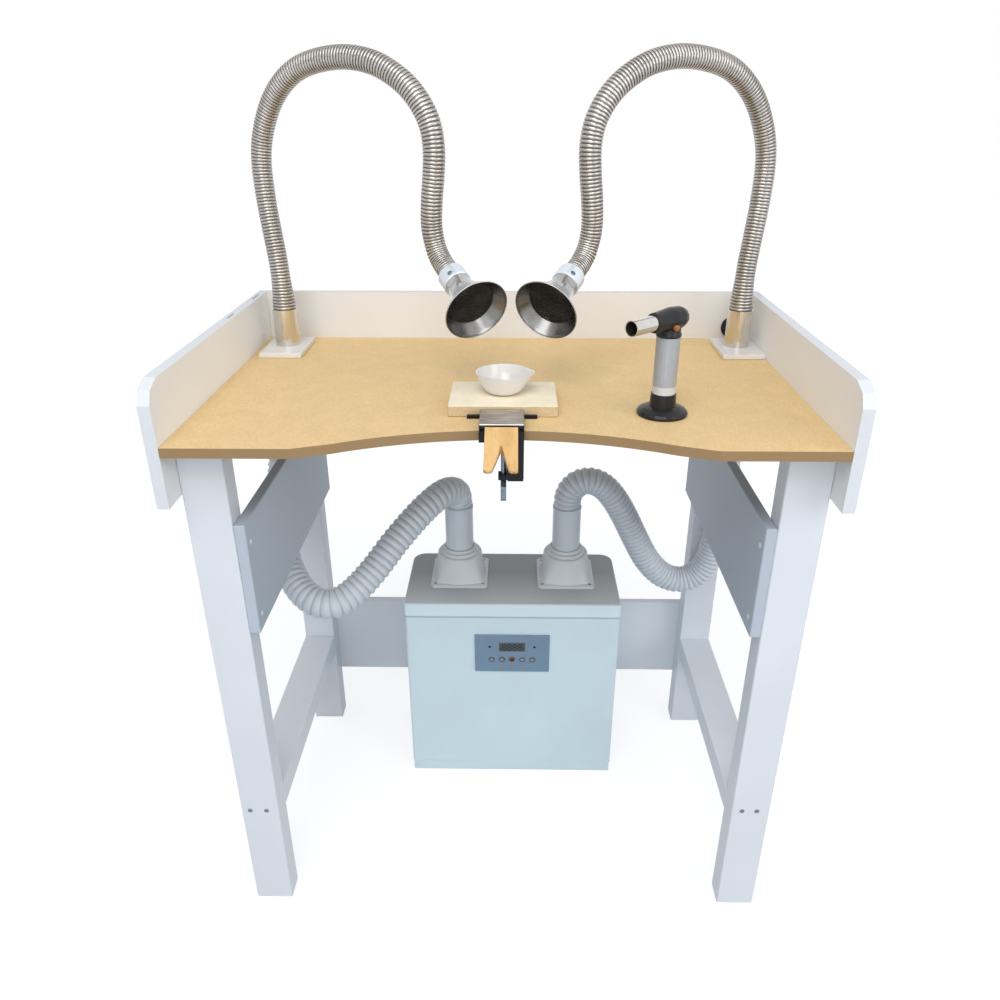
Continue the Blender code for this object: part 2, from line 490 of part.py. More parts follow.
def build_arm(side):
    """One arm: its flange, tube and duct adapter, then the gooseneck with its hood."""
    sign = -1 if side == "left" else 1
    x = ARM_X[side]
    width, depth, thickness = FLANGE_SIZE
    flange = block(
        at(x - width / 2, FLANGE_DEPTH - depth / 2, TOP_HEIGHT + GAP),
        at(x + width / 2, FLANGE_DEPTH + depth / 2, TOP_HEIGHT + thickness),
    )
    flange = add(f"{side}_arm_flange", soften(flange, METAL_EDGE), "white_plastic")
    hole = [at(x, ARM_DEPTH, TOP_HEIGHT + height) for height in (-OVERRUN, thickness + OVERRUN)]
    combine(flange, rod(TUBE_RADIUS + GAP, *hole), "tube_hole")
    axis = Matrix.Translation(at(x, ARM_DEPTH, 0.0))
    bore = TUBE_RADIUS - TUBE_WALL
    tube = [(TUBE_RADIUS, TUBE_TOP), (TUBE_RADIUS, TUBE_BOTTOM), (bore, TUBE_BOTTOM), (bore, TUBE_TOP)]
    add(f"{side}_arm_tube", turned(tube, axis), "stainless")
    under = TOP_HEIGHT - TOP_THICKNESS - GAP
    inner = TUBE_RADIUS + GAP
    lip = TUBE_RADIUS - TUBE_WALL
    adapter = [
        (ADAPTER_RIM, under), (ADAPTER_RIM, under - ADAPTER_RIM_HEIGHT),
        (ADAPTER_RADIUS, under - 1.5 * ADAPTER_RIM_HEIGHT), (ADAPTER_RADIUS, ADAPTER_BOTTOM),
        (lip, ADAPTER_BOTTOM), (lip, TUBE_BOTTOM - GAP),
        (inner, TUBE_BOTTOM - GAP), (inner, under),
    ]
    add(f"{side}_duct_adapter", turned(adapter, axis), "port_plastic")

    shift = x - sign * abs(NECK_ROUTE[0][0])
    route = [at(sign * abs(px) + shift, pd, pz) for px, pd, pz in NECK_ROUTE]
    ribs = NECK_RIBS + NECK_TIP_RIBS
    length = sum((two - one).length for one, two in zip(route, route[1:]))
    line = smooth_line(route, length / (2 * ribs))
    split = len(line) - 1 - 2 * NECK_TIP_RIBS
    swivel = pivot(f"{side}_arm_axis", at(x, ARM_DEPTH, TUBE_TOP))
    aim = Vector((-sign * HOOD_AXIS.x, HOOD_AXIS.y, HOOD_AXIS.z))
    radii = rib_radii(len(line), NECK_CREST, NECK_VALLEY)
    for index, point in enumerate(line[: split + 1]):
        rise = min(1.0, (point.z - TUBE_TOP) / NECK_FLARE_LENGTH)
        radii[index] *= NECK_FLARE + (1.0 - NECK_FLARE) * rise
    # Both stretches meet on one plane, so each runs square to it for a short way.
    run = (line[split + 1] - line[split - 1]).normalized()
    main = [*line[:split], line[split] - run * NECK_SQUARE, line[split] - run * GAP / 2]
    ends = [NECK_VALLEY, NECK_VALLEY]
    sizes = radii[:split] + ends
    ribbed_hose(f"{side}_gooseneck", main, sizes, NECK_BORE, "stainless", NECK_BORE_STEP, swivel)
    tilt = pivot(f"{side}_hood_axis", line[split + NECK_TIP_RIBS])
    tip = [line[split] + run * GAP / 2, line[split] + run * NECK_SQUARE, *line[split + 1 : -1]]
    tip += [line[-1] - aim * NECK_SQUARE, line[-1] - aim * GAP]
    sizes = ends + radii[split + 1 : -1] + ends
    ribbed_hose(f"{side}_gooseneck_tip", tip, sizes, NECK_BORE, "stainless", TIP_BORE_STEP, tilt)

    place = along(line[-1], aim)
    edge = COLLAR_RADIUS - COLLAR_EDGE
    collar = [
        (edge, 0.0), (COLLAR_RADIUS, COLLAR_EDGE), (COLLAR_RADIUS, COLLAR_LENGTH - COLLAR_EDGE),
        (edge, COLLAR_LENGTH), (NECK_BORE, COLLAR_LENGTH), (NECK_BORE, 0.0),
    ]
    add(f"{side}_hood_collar", turned(collar, place), "zinc_sleeve", tilt)
    mouth = place @ Matrix.Translation((0, 0, COLLAR_LENGTH + GAP))
    funnel = hood_outline(0.0) + hood_outline(HOOD_WALL)[::-1]
    add(f"{side}_hood", turned(funnel, mouth, WIDE_ROUND), "stainless", tilt)
    screen = mouth @ Matrix.Translation((0, 0, SCREEN_AT))
    disc = [
        (0.0, SCREEN_THICKNESS), (SCREEN_RADIUS, SCREEN_THICKNESS), (SCREEN_RADIUS, 0.0), (0.0, 0.0),
    ]
    disc = add(f"{side}_hood_screen", turned(disc, screen, closed=False), "dark_mesh", tilt)
    combine(disc, screen_holes(screen), "holes")


def screen_holes(place):
    """The holes of a hood screen, on a triangular grid inside its rim."""
    bm = bmesh.new()
    reach = SCREEN_RADIUS - SCREEN_HOLE - SCREEN_RIM
    count = int(reach / SCREEN_PITCH) + 1
    for row in range(-count, count + 1):
        for column in range(-count, count + 1):
            spot = Vector((SCREEN_PITCH * (column + row / 2), SCREEN_PITCH * row * math.sqrt(0.75), 0))
            if spot.length > reach:
                continue
            bmesh.ops.create_cone(
                bm, cap_ends=True, segments=SCREEN_SIDES, radius1=SCREEN_HOLE, radius2=SCREEN_HOLE,
                depth=4 * SCREEN_THICKNESS, matrix=place @ Matrix.Translation(spot),
            )
    return bm


def case_outline(inset):
    """The extractor's plan, drawn in by an inset: tight front corners and full rear ones."""
    half = CASE_WIDTH / 2 - inset
    front = FRONT_Y + CASE_FRONT + inset
    rear = FRONT_Y + CASE_FRONT + CASE_DEPTH - inset
    small = max(CASE_FRONT_RADIUS - inset, CASE_LEAST_RADIUS)
    large = CASE_REAR_RADIUS - inset
    right, left = CASE_X + half, CASE_X - half
    return [
        *arc((left + small, front + small), small, 180, 270, 2),
        *arc((right - small, front + small), small, 270, 360, 2),
        *arc((right - large, rear - large), large, 0, 90, 5),
        *arc((left + large, rear - large), large, 90, 180, 5),
    ]


def build_case():
    """The extractor's steel case and lid."""
    seam = CASE_TOP - LID_SKIRT
    case = add("extractor_case", prism(case_outline(0.0), PLINTH, seam), "powder_coat")
    plinth = prism(case_outline(PLINTH_INSET), 0.0, PLINTH + CASE_FLOOR)
    combine(case, plinth, "plinth", "UNION")
    combine(case, prism(case_outline(CASE_SHEET + PLINTH_INSET), CASE_FLOOR, CASE_TOP), "hollow")
    rear = FRONT_Y + CASE_FRONT + CASE_DEPTH
    vents = bmesh.new()
    for index in range(VENT_COUNT):
        z = VENT_BOTTOM + index * VENT_PITCH
        size = Matrix.Diagonal((*VENT_SIZE, 1.0))
        bmesh.ops.create_cube(vents, size=1.0, matrix=Matrix.Translation((CASE_X, rear, z)) @ size)
    combine(case, vents, "vents")
    lid = add("extractor_lid", prism(case_outline(-LID_LIP), seam + GAP, CASE_TOP), "powder_coat")
    combine(lid, prism(case_outline(CASE_SHEET), seam - OVERRUN, CASE_TOP - CASE_SHEET), "hollow")
    for side, sign in (("left", -1), ("right", 1)):
        spot = at(CASE_X + sign * PORT_OFFSET, PORT_DEPTH, CASE_TOP)
        rise = Vector((0, 0, OVERRUN))
        combine(lid, rod(LID_PORT, spot - rise, spot + rise), f"{side}_port_hole")


def build_controls():
    """The control panel, its display window and its five push buttons."""
    front = FRONT_Y + CASE_FRONT
    width, height, thickness = PANEL_SIZE
    low = (CASE_X - width / 2, front - thickness, PANEL_Z - height / 2)
    high = (CASE_X + width / 2, front - GAP, PANEL_Z + height / 2)
    panel = add("control_panel", soften(block(low, high), PANEL_EDGE), "panel_film")
    places = [CASE_X + BUTTON_PITCH * step for step in range(-2, 3)]
    for index, x in enumerate(places):
        ends = (x, front - OVERRUN, BUTTON_Z), (x, front + OVERRUN, BUTTON_Z)
        combine(panel, rod(BUTTON_RADIUS + GAP, *ends, SMALL_ROUND), f"hole_{index}")
    width, height, thick = WINDOW_SIZE
    face = front - thickness - GAP
    low = (CASE_X - width / 2, face - thick, WINDOW_Z - height / 2)
    high = (CASE_X + width / 2, face, WINDOW_Z + height / 2)
    add("display_window", soften(block(low, high), WINDOW_EDGE), "smoked_window")
    names = ("power", "down", "mode", "up", "timer")
    for name, x in zip(names, places):
        start = (x, front - 2 * BUTTON_TRAVEL, BUTTON_Z)
        length = thickness - 2 * BUTTON_TRAVEL + BUTTON_PROUD
        shoulder = length - BUTTON_EDGE
        dome = [
            (0.0, length), (BUTTON_RADIUS - 2 * BUTTON_EDGE, length), (BUTTON_RADIUS, shoulder),
            (BUTTON_RADIUS, 0.0), (0.0, 0.0),
        ]
        shape = turned(dome, along(start, (0, -1, 0)), SMALL_ROUND, closed=False)
        finish = "button_orange" if name == "mode" else "button_grey"
        add(f"{name}_button", shape, finish, origin=start)


def port_ring(half, height, share, count=ROUND):
    """A ring of points that goes from a square, at share 0, to a circle, at share 1."""
    points = []
    for step in range(count):
        angle = math.tau * (step + 0.5) / count
        circle = Vector((math.cos(angle), math.sin(angle), 0.0))
        square = circle / max(abs(circle.x), abs(circle.y))
        spot = square.lerp(circle, share) * half
        points.append((spot.x, spot.y, height))
    return points


def lofted(rings):
    """A closed ring of skin: each ring joined to the next, and the last to the first."""
    bm = bmesh.new()
    made = [[bm.verts.new(point) for point in ring] for ring in rings]
    for one, two in zip(made, made[1:] + made[:1]):
        for index in range(len(one)):
            after = (index + 1) % len(one)
            bm.faces.new((one[index], one[after], two[after], two[index]))
    return bm


def build_ports():
    """The square-to-round ports on the lid, and the two ducts with their smooth cuffs."""
    for side, sign in (("left", -1), ("right", 1)):
        spot = at(CASE_X + sign * PORT_OFFSET, PORT_DEPTH, 0.0)
        base = CASE_TOP + GAP
        port = lofted([port_ring(half, base + rise, share) for half, rise, share in PORT_RINGS])
        bmesh.ops.translate(port, verts=port.verts, vec=spot)
        add(f"{side}_port", port, "port_plastic")
        bead = CUFF_TOP - CUFF_BEAD_HEIGHT
        cuff_heights = (CUFF_BOTTOM, bead, bead + GAP, CUFF_TOP)
        cuff_radii = (CUFF_RADIUS, CUFF_RADIUS, CUFF_BEAD, CUFF_BEAD)
        cuff = [spot + Vector((0.0, 0.0, height)) for height in cuff_heights]
        route = [at(*point) for point in DUCT_ROUTES[side]]
        length = sum((two - one).length for one, two in zip(route, route[1:]))
        line = smooth_line(route, length / (2 * DUCT_RIBS))
        radii = [*cuff_radii, *rib_radii(len(line), DUCT_CREST, DUCT_VALLEY)]
        ribbed_hose(f"{side}_duct", [*cuff, *line], radii, DUCT_BORE, "duct_pvc", DUCT_BORE_STEP)


def scroll_outline(grow, centre):
    """A blower's spiral plan, widening once round, with its outlet to the back."""
    points = []
    for step in range(SCROLL_STEPS + 1):
        turn = step / SCROLL_STEPS
        radius = SCROLL_RADIUS + grow + SCROLL_GROWTH * turn
        angle = math.radians(SCROLL_START + SCROLL_TURN * turn)
        points.append((centre.x + radius * math.cos(angle), centre.y + radius * math.sin(angle)))
    return points


def build_works():
    """What is inside the case: the filters, and the blower with its motor."""
    middle = at(CASE_X, CASE_FRONT + CASE_DEPTH / 2 - BLOWER_FORWARD, 0.0)
    rise = Vector((0, 0, 1))
    margin = CASE_SHEET + PLINTH_INSET + 2 * GAP
    deck_top = DECK_Z + SCROLL_WALL
    deck = add("blower_housing", prism(case_outline(margin), DECK_Z, deck_top), "powder_coat")
    low = DECK_Z - SCROLL_HEIGHT
    shell = prism(scroll_outline(SCROLL_WALL, middle), low, DECK_Z + SCROLL_WALL / 2)
    combine(deck, shell, "scroll_shell", "UNION")
    hollow = prism(scroll_outline(0.0, middle), low + SCROLL_WALL, DECK_Z - SCROLL_WALL)
    combine(deck, hollow, "scroll_hollow")
    eye = (middle + rise * (DECK_Z - OVERRUN), middle + rise * (DECK_Z + OVERRUN))
    combine(deck, rod(SCROLL_EYE, *eye), "eye")
    shaft_hole = (middle + rise * (low - OVERRUN), middle + rise * (low + OVERRUN))
    combine(deck, rod(SHAFT_HOLE, *shaft_hole, SMALL_ROUND), "shaft_hole")
    outlet = block(
        middle + Vector((-OUTLET_HALF, SCROLL_RADIUS - OVERRUN, low + OUTLET_LIP)),
        middle + Vector((OUTLET_HALF, OUTLET_REACH, DECK_Z - OUTLET_LIP)),
    )
    combine(deck, outlet, "outlet")

    floor = CASE_FLOOR + GAP
    top = low - GAP
    motor = [
        (0.0, low + SHAFT_RISE), (SHAFT_RADIUS, low + SHAFT_RISE), (SHAFT_RADIUS, top),
        (MOTOR_RADIUS, top), (MOTOR_RADIUS, floor + MOTOR_EDGE), (MOTOR_RADIUS - MOTOR_EDGE, floor),
        (0.0, floor),
    ]
    add("fan_motor", turned(motor, Matrix.Translation(middle), closed=False), "screw_steel")
    blades = []
    for step in range(IMPELLER_BLADES):
        for radius, share in BLADE_CORNERS:
            angle = math.tau * (step + share) / IMPELLER_BLADES
            blades.append((middle.x + radius * math.cos(angle), middle.y + radius * math.sin(angle)))
    bottom = low + IMPELLER_LIFT
    axis = pivot("impeller_axis", middle + rise * bottom)
    impeller = add("impeller", prism(blades, bottom, bottom + IMPELLER_HEIGHT), "black_plastic", axis)
    ends = (middle + rise * (bottom - OVERRUN), middle + rise * (bottom + IMPELLER_HEIGHT + OVERRUN))
    combine(impeller, rod(SHAFT_RADIUS + GAP, *ends, SMALL_ROUND), "bore")

    plan = case_outline(margin + SCROLL_WALL)
    add("main_filter", prism(plan, deck_top + GAP, FILTER_TOP), "filter_media")
    add("prefilter", prism(plan, FILTER_TOP + GAP, PREFILTER_TOP), "filter_media")


def pin_frame():
    """The bench pin's own frame: its root at the clamp, +X across, +Y out along its slope."""
    root = at(CLAMP_X, PIN_ROOT_DEPTH, TOP_HEIGHT + PIN_ROOT_RISE)
    out = Vector((0.0, -math.cos(PIN_SLOPE), -math.sin(PIN_SLOPE)))
    up = Vector((0.0, -math.sin(PIN_SLOPE), math.cos(PIN_SLOPE)))
    across = out.cross(up)
    turn = Matrix((across, out, up)).transposed().to_4x4()
    return Matrix.Translation(root) @ turn


def build_clamp():
    """The bench pin, its anvil and the clamp that holds them on the bench's front edge."""
    half = ANVIL_WIDTH / 2
    base = TOP_HEIGHT + GAP
    jaw_top = base + JAW_THICKNESS
    anvil = block(
        at(CLAMP_X - half, ANVIL_FRONT, jaw_top + GAP),
        at(CLAMP_X + half, ANVIL_BACK, jaw_top + GAP + ANVIL_THICKNESS),
    )
    add("anvil_plate", soften(anvil, METAL_EDGE), "anvil_steel")

    jaw = block(at(CLAMP_X - half, BODY_FRONT, base), at(CLAMP_X + half, ANVIL_BACK, jaw_top))
    body = add("clamp_body", jaw, "clamp_black")
    # Each later block stays a hair inside the one before, so that no two faces lie on one plane.
    hair = GAP / 3
    bar_half = JAW_BAR_WIDTH / 2
    bar = block(
        at(CLAMP_X - bar_half, ANVIL_BACK - JAW_BAR_DEPTH, base + hair),
        at(CLAMP_X + bar_half, ANVIL_BACK - hair, jaw_top - hair),
    )
    combine(body, bar, "bar", "UNION")
    under = TOP_HEIGHT - TOP_THICKNESS
    cheek = block(
        at(CLAMP_X - half + hair, BODY_FRONT + hair, under + CHEEK_RISE),
        at(CLAMP_X + half - hair, BODY_BACK, jaw_top - hair),
    )
    combine(body, cheek, "cheek", "UNION")
    right = CLAMP_X + half
    spine = block(
        at(right - SPINE_WIDTH, BODY_FRONT + 2 * hair, BODY_BOTTOM),
        at(right - 2 * hair, BODY_BACK - 2 * hair, jaw_top - 2 * hair),
    )
    combine(body, spine, "spine", "UNION")
    arm = block(
        at(right - ARM_WIDTH, BODY_BACK - ARM_LAP, ARM_BOTTOM),
        at(right - 4 * hair, ARM_REACH, ARM_TOP),
    )
    combine(body, arm, "arm", "UNION")
    foot = block(
        at(SCREW_X - FOOT_HALF, SCREW_DEPTH - FOOT_HALF, FOOT_BOTTOM),
        at(right - ARM_WIDTH + ARM_LAP, SCREW_DEPTH + FOOT_HALF - hair, FOOT_TOP),
    )
    combine(body, foot, "foot", "UNION")
    frame = pin_frame()
    seat = block(
        (-PIN_WIDTH / 2 - GAP, -GAP, -PIN_THICK - GAP), (PIN_WIDTH / 2 + GAP, PIN_LENGTH, PIN_THICK),
    )
    bmesh.ops.transform(seat, matrix=frame, verts=seat.verts)
    combine(body, seat, "pin_seat")
    ends = (FOOT_BOTTOM - OVERRUN, ARM_TOP + OVERRUN)
    hole = rod(SCREW_RADIUS + GAP, *[at(SCREW_X, SCREW_DEPTH, z) for z in ends], SMALL_ROUND)
    combine(body, hole, "screw_hole")

    across = PIN_WIDTH / 2
    notch = PIN_LENGTH - PIN_NOTCH_LENGTH
    right_half = [
        (PIN_NOTCH_FLOOR, notch), (PIN_NOTCH_HALF, PIN_LENGTH - PIN_CORNER),
        (PIN_NOTCH_HALF + PIN_CORNER, PIN_LENGTH), (across - PIN_CORNER, PIN_LENGTH),
        (across, PIN_LENGTH - PIN_CORNER), (across, 0.0),
    ]
    plan = [(-x, y) for x, y in right_half[::-1]] + right_half
    pin = prism(plan, -PIN_THICK, 0.0)
    for vert in pin.verts:
        if vert.co.z < -PIN_THICK / 2:
            share = vert.co.y / PIN_LENGTH
            vert.co.z = -PIN_THICK + (PIN_THICK - PIN_TIP_THICK) * share
    bmesh.ops.transform(pin, matrix=frame, verts=pin.verts)
    add("bench_pin", pin, "pin_wood", origin=frame.translation)

    travel = pivot("clamp_axis", at(SCREW_X, SCREW_DEPTH, under))
    pad_low = under - GAP - PAD_HEIGHT
    pad = [
        (0.0, PAD_HEIGHT), (PAD_RADIUS, PAD_HEIGHT), (PAD_RADIUS, PAD_HEIGHT / 2), (PAD_NECK, 0.0),
        (0.0, 0.0),
    ]
    spot = Matrix.Translation(at(SCREW_X, SCREW_DEPTH, pad_low))
    add("clamp_pad", turned(pad, spot, SMALL_ROUND, closed=False), "screw_steel", travel)
    paddle_top = SCREW_BOTTOM + PADDLE_HEIGHT
    ends = (paddle_top - PADDLE_EDGE, pad_low - GAP)
    stem = rod(SCREW_RADIUS, *[at(SCREW_X, SCREW_DEPTH, z) for z in ends], SMALL_ROUND)
    screw = add("clamp_screw", stem, "screw_steel", travel)
    y = FRONT_Y + SCREW_DEPTH
    rear_half = [
        (PADDLE_HALF - PADDLE_EDGE, SCREW_BOTTOM), (PADDLE_HALF, SCREW_BOTTOM + PADDLE_EDGE),
        (PADDLE_HALF, paddle_top - PADDLE_SHOULDER), (SCREW_RADIUS, paddle_top),
    ]
    plate = [(y - across, z) for across, z in rear_half[::-1]] + [(y + across, z) for across, z in rear_half]
    paddle = prism(plate, SCREW_X - PADDLE_THICK / 2, SCREW_X + PADDLE_THICK / 2, "X")
    combine(screw, paddle, "paddle", "UNION")


def build_soldering():
    """The soldering board and the porcelain dish on it."""
    half = Vector(SOLDER_SIZE) / 2
    centre = at(SOLDER_X, SOLDER_DEPTH, TOP_HEIGHT + GAP + half.z)
    board = soften(block(centre - half, centre + half), METAL_EDGE)
    add("soldering_board", board, "solder_board", origin=centre)
    base = TOP_HEIGHT + 2 * GAP + SOLDER_SIZE[2]
    outer = []
    inner = []
    for step in range(DISH_STEPS + 1):
        share = step / DISH_STEPS
        radius = DISH_FOOT + (DISH_RADIUS - DISH_FOOT) * share**DISH_FLARE
        outer.append((radius, DISH_HEIGHT * share))
        if step:
            inner.append((radius - DISH_WALL, DISH_WALL + (DISH_HEIGHT - DISH_WALL) * share))
    profile = [(0.0, DISH_WALL), (DISH_FOOT - DISH_WALL, DISH_WALL), *inner[:-1],
               (DISH_RADIUS - DISH_WALL, DISH_HEIGHT), *outer[::-1], (0.0, 0.0)]
    dish = turned(profile, None, WIDE_ROUND, closed=False)
    for vert in dish.verts:
        angle = math.degrees(math.atan2(vert.co.y, vert.co.x))
        radius = math.hypot(vert.co.x, vert.co.y)
        if radius > DISH_FOOT and abs(angle) < SPOUT_ANGLE:
            lift = (1.0 - abs(angle) / SPOUT_ANGLE) * (vert.co.z / DISH_HEIGHT) ** 2
            vert.co.x += DISH_SPOUT * lift
    spot = at(DISH_X, DISH_DEPTH, base)
    bmesh.ops.translate(dish, verts=dish.verts, vec=spot)
    add("dish", dish, "porcelain", origin=spot)


def build_torch():
    """The hand torch: its stand, gas body, head, flame tube and ignition trigger."""
    foot = at(TORCH_X, TORCH_DEPTH, TOP_HEIGHT + GAP)
    lift = pivot("torch_axis", foot)
    axis = Matrix.Translation(foot)
    add("torch_stand", turned(STAND_PROFILE, axis, WIDE_ROUND, closed=False), "black_plastic", lift)
    low, high = TORCH_BODY_BOTTOM + GAP, TORCH_BODY_TOP - GAP
    body = [(0.0, high), (TORCH_BODY, high), (TORCH_BODY, low), (0.0, low)]
    add("torch_body", turned(body, axis, closed=False), "torch_sleeve", lift)
    head = add("torch_head", turned(NECK_PROFILE, axis, closed=False), "black_plastic", lift)
    tail = foot + Vector((0, 0, TORCH_AXIS)) - TORCH_AIM * HEAD_TAIL
    barrel = turned(BARREL_PROFILE, along(tail, TORCH_AIM), closed=False)
    combine(head, barrel, "barrel", "UNION")
    front = foot + Vector((0, 0, TORCH_AXIS)) + TORCH_AIM * (HEAD_FRONT + GAP)
    inner = NOZZLE_RADIUS - NOZZLE_WALL
    reach = NOZZLE_END - HEAD_FRONT
    flame_tube = [
        (0.0, NOZZLE_FLOOR), (inner, NOZZLE_FLOOR), (inner, reach), (NOZZLE_RADIUS, reach),
        (NOZZLE_RADIUS, 0.0), (0.0, 0.0),
    ]
    add("torch_nozzle", turned(flame_tube, along(front, TORCH_AIM), closed=False), "torch_chrome", lift)
    seat = foot + Vector((0, 0, TRIGGER_HEIGHT)) + TRIGGER_SIDE * TRIGGER_SEAT
    trigger = [
        (0.0, TRIGGER_LENGTH), (TRIGGER_RADIUS * 0.65, TRIGGER_LENGTH * 0.93),
        (TRIGGER_RADIUS, TRIGGER_LENGTH * 0.65), (TRIGGER_RADIUS, 0.0), (0.0, 0.0),
    ]
    shape = turned(trigger, along(seat, TRIGGER_SIDE), SMALL_ROUND, closed=False)
    add("torch_trigger", shape, "button_orange", origin=seat)
    ends = (seat - TRIGGER_SIDE * TRIGGER_SOCKET, seat + TRIGGER_SIDE * 2 * OVERRUN)
    combine(head, rod(TRIGGER_RADIUS + 2 * GAP, *ends, SMALL_ROUND), "trigger_socket")


def main():
    clear_scene()
    build_bench()
    for side in ARM_X:
        build_arm(side)
    build_case()
    build_controls()
    build_ports()
    build_works()
    build_clamp()
    build_soldering()
    build_torch()


main()
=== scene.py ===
"""Looks of the jeweller's workbench with its fume extractor: finishes, hoses, hoods and small fittings."""

import json
import math

import bmesh
import bpy
from mathutils import Matrix, Vector


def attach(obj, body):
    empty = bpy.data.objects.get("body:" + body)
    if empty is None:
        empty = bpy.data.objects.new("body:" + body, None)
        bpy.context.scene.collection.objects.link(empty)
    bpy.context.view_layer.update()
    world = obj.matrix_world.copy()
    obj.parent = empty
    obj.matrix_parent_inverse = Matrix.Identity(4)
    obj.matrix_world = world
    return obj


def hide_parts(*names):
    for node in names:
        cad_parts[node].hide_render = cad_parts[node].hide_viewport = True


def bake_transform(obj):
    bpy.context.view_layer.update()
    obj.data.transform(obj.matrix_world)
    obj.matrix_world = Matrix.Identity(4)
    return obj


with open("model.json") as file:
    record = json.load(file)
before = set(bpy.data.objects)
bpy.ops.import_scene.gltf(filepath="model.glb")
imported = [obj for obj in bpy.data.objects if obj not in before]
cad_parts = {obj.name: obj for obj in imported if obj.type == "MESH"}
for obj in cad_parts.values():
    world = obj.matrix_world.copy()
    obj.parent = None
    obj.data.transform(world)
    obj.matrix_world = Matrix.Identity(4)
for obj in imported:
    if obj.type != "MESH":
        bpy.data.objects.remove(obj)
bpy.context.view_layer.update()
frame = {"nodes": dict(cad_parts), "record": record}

# Camera, as the photograph was taken
CAMERA_PLACE = (0.0131, -1.3583, 1.4026)
CAMERA_TURN = (math.radians(64.04), math.radians(0.08), math.radians(0.96))
CAMERA_LENS, CAMERA_SENSOR = 29.53, 36.0

# The bench's driving sizes, as in the solids
FRONT_Y = -0.3085
TOP_HEIGHT = 0.968
ARM_X = {"left": -0.425, "right": 0.442}
TUBE_TOP = 1.0467
SIDES = {"left": -1, "right": 1}
# The clearance between pieces that lie on each other
GAP = 0.0003

# Goosenecks: interlocked steel hose
NECK_CREST, NECK_VALLEY, NECK_RINGS = 0.0182, 0.0168, 176
# Places along one ring's pitch, as shares of it, with the height there
NECK_STEPS = ((0.0, 0.0), (0.16, 0.0), (0.26, 0.70), (0.44, 1.0), (0.72, 1.0), (0.90, 0.70))
# The rows of faces in one ring that lie in its groove, which take a dark finish as painted shade
NECK_GROOVE = (0, 1, 5)
RING_SAMPLES = 50
NECK_FLARE, NECK_FLARE_LENGTH = 1.20, 0.060
NECK_TIP_SHARE = 1 / 7
HOOD_AXIS = Vector((0.45, -0.79, -0.41)).normalized()
COLLAR_RADIUS, COLLAR_LENGTH = 0.0235, 0.028
HOOD_PROFILE = ((0.0, 0.0215), (0.014, 0.0225), (0.030, 0.0285), (0.046, 0.0375), (0.0690, 0.0530))
HOOD_WALL, HOOD_LIP, HOOD_ROWS = 0.0015, 0.0010, 20
# The rolled lip: the angles between which it turns, its steps, and how far it sits into the wall
LIP_FROM, LIP_SWEEP, LIP_STEPS, LIP_INSET = math.radians(-60), math.radians(240), 8, 0.0002
SCREEN_AT, SCREEN_RADIUS, SCREEN_PITCH, SCREEN_WIRE = 0.0495, 0.0380, 0.0030, 0.00055
SCREEN_RING_SIZE, SCREEN_RING_SIDES, WIRE_SIDES = (0.0006, 0.0009), 8, 6
COLLAR_SCREW_AIM, COLLAR_SCREW = Vector((0.384, -0.59, 0.709)), 0.0042
COLLAR_SCREW_AT, COLLAR_SCREW_SINK = 0.7, 0.0002
# The left gooseneck, from its tube to its hood collar: x, depth, height. The right one mirrors it.
NECK_ROUTE = (
    (-0.4250, 0.5120, 1.0470), (-0.4250, 0.5120, 1.0840), (-0.4268, 0.5135, 1.1300),
    (-0.4320, 0.5170, 1.1800), (-0.4380, 0.5220, 1.2365), (-0.4394, 0.5235, 1.3010),
    (-0.4300, 0.5190, 1.3490), (-0.4050, 0.5050, 1.4000), (-0.3690, 0.4850, 1.4370),
    (-0.3260, 0.4620, 1.4575), (-0.2660, 0.4290, 1.4655), (-0.2130, 0.4000, 1.4575),
    (-0.1720, 0.3780, 1.4370), (-0.1420, 0.3620, 1.4100), (-0.1215, 0.3520, 1.3750),
    (-0.1145, 0.3490, 1.3380), (-0.1165, 0.3520, 1.2980), (-0.1215, 0.3570, 1.2550),
    (-0.1235, 0.3640, 1.2150), (-0.1180, 0.3650, 1.1820), (-0.1070, 0.3530, 1.1600),
    (-0.0905, 0.3240, 1.1450),
)

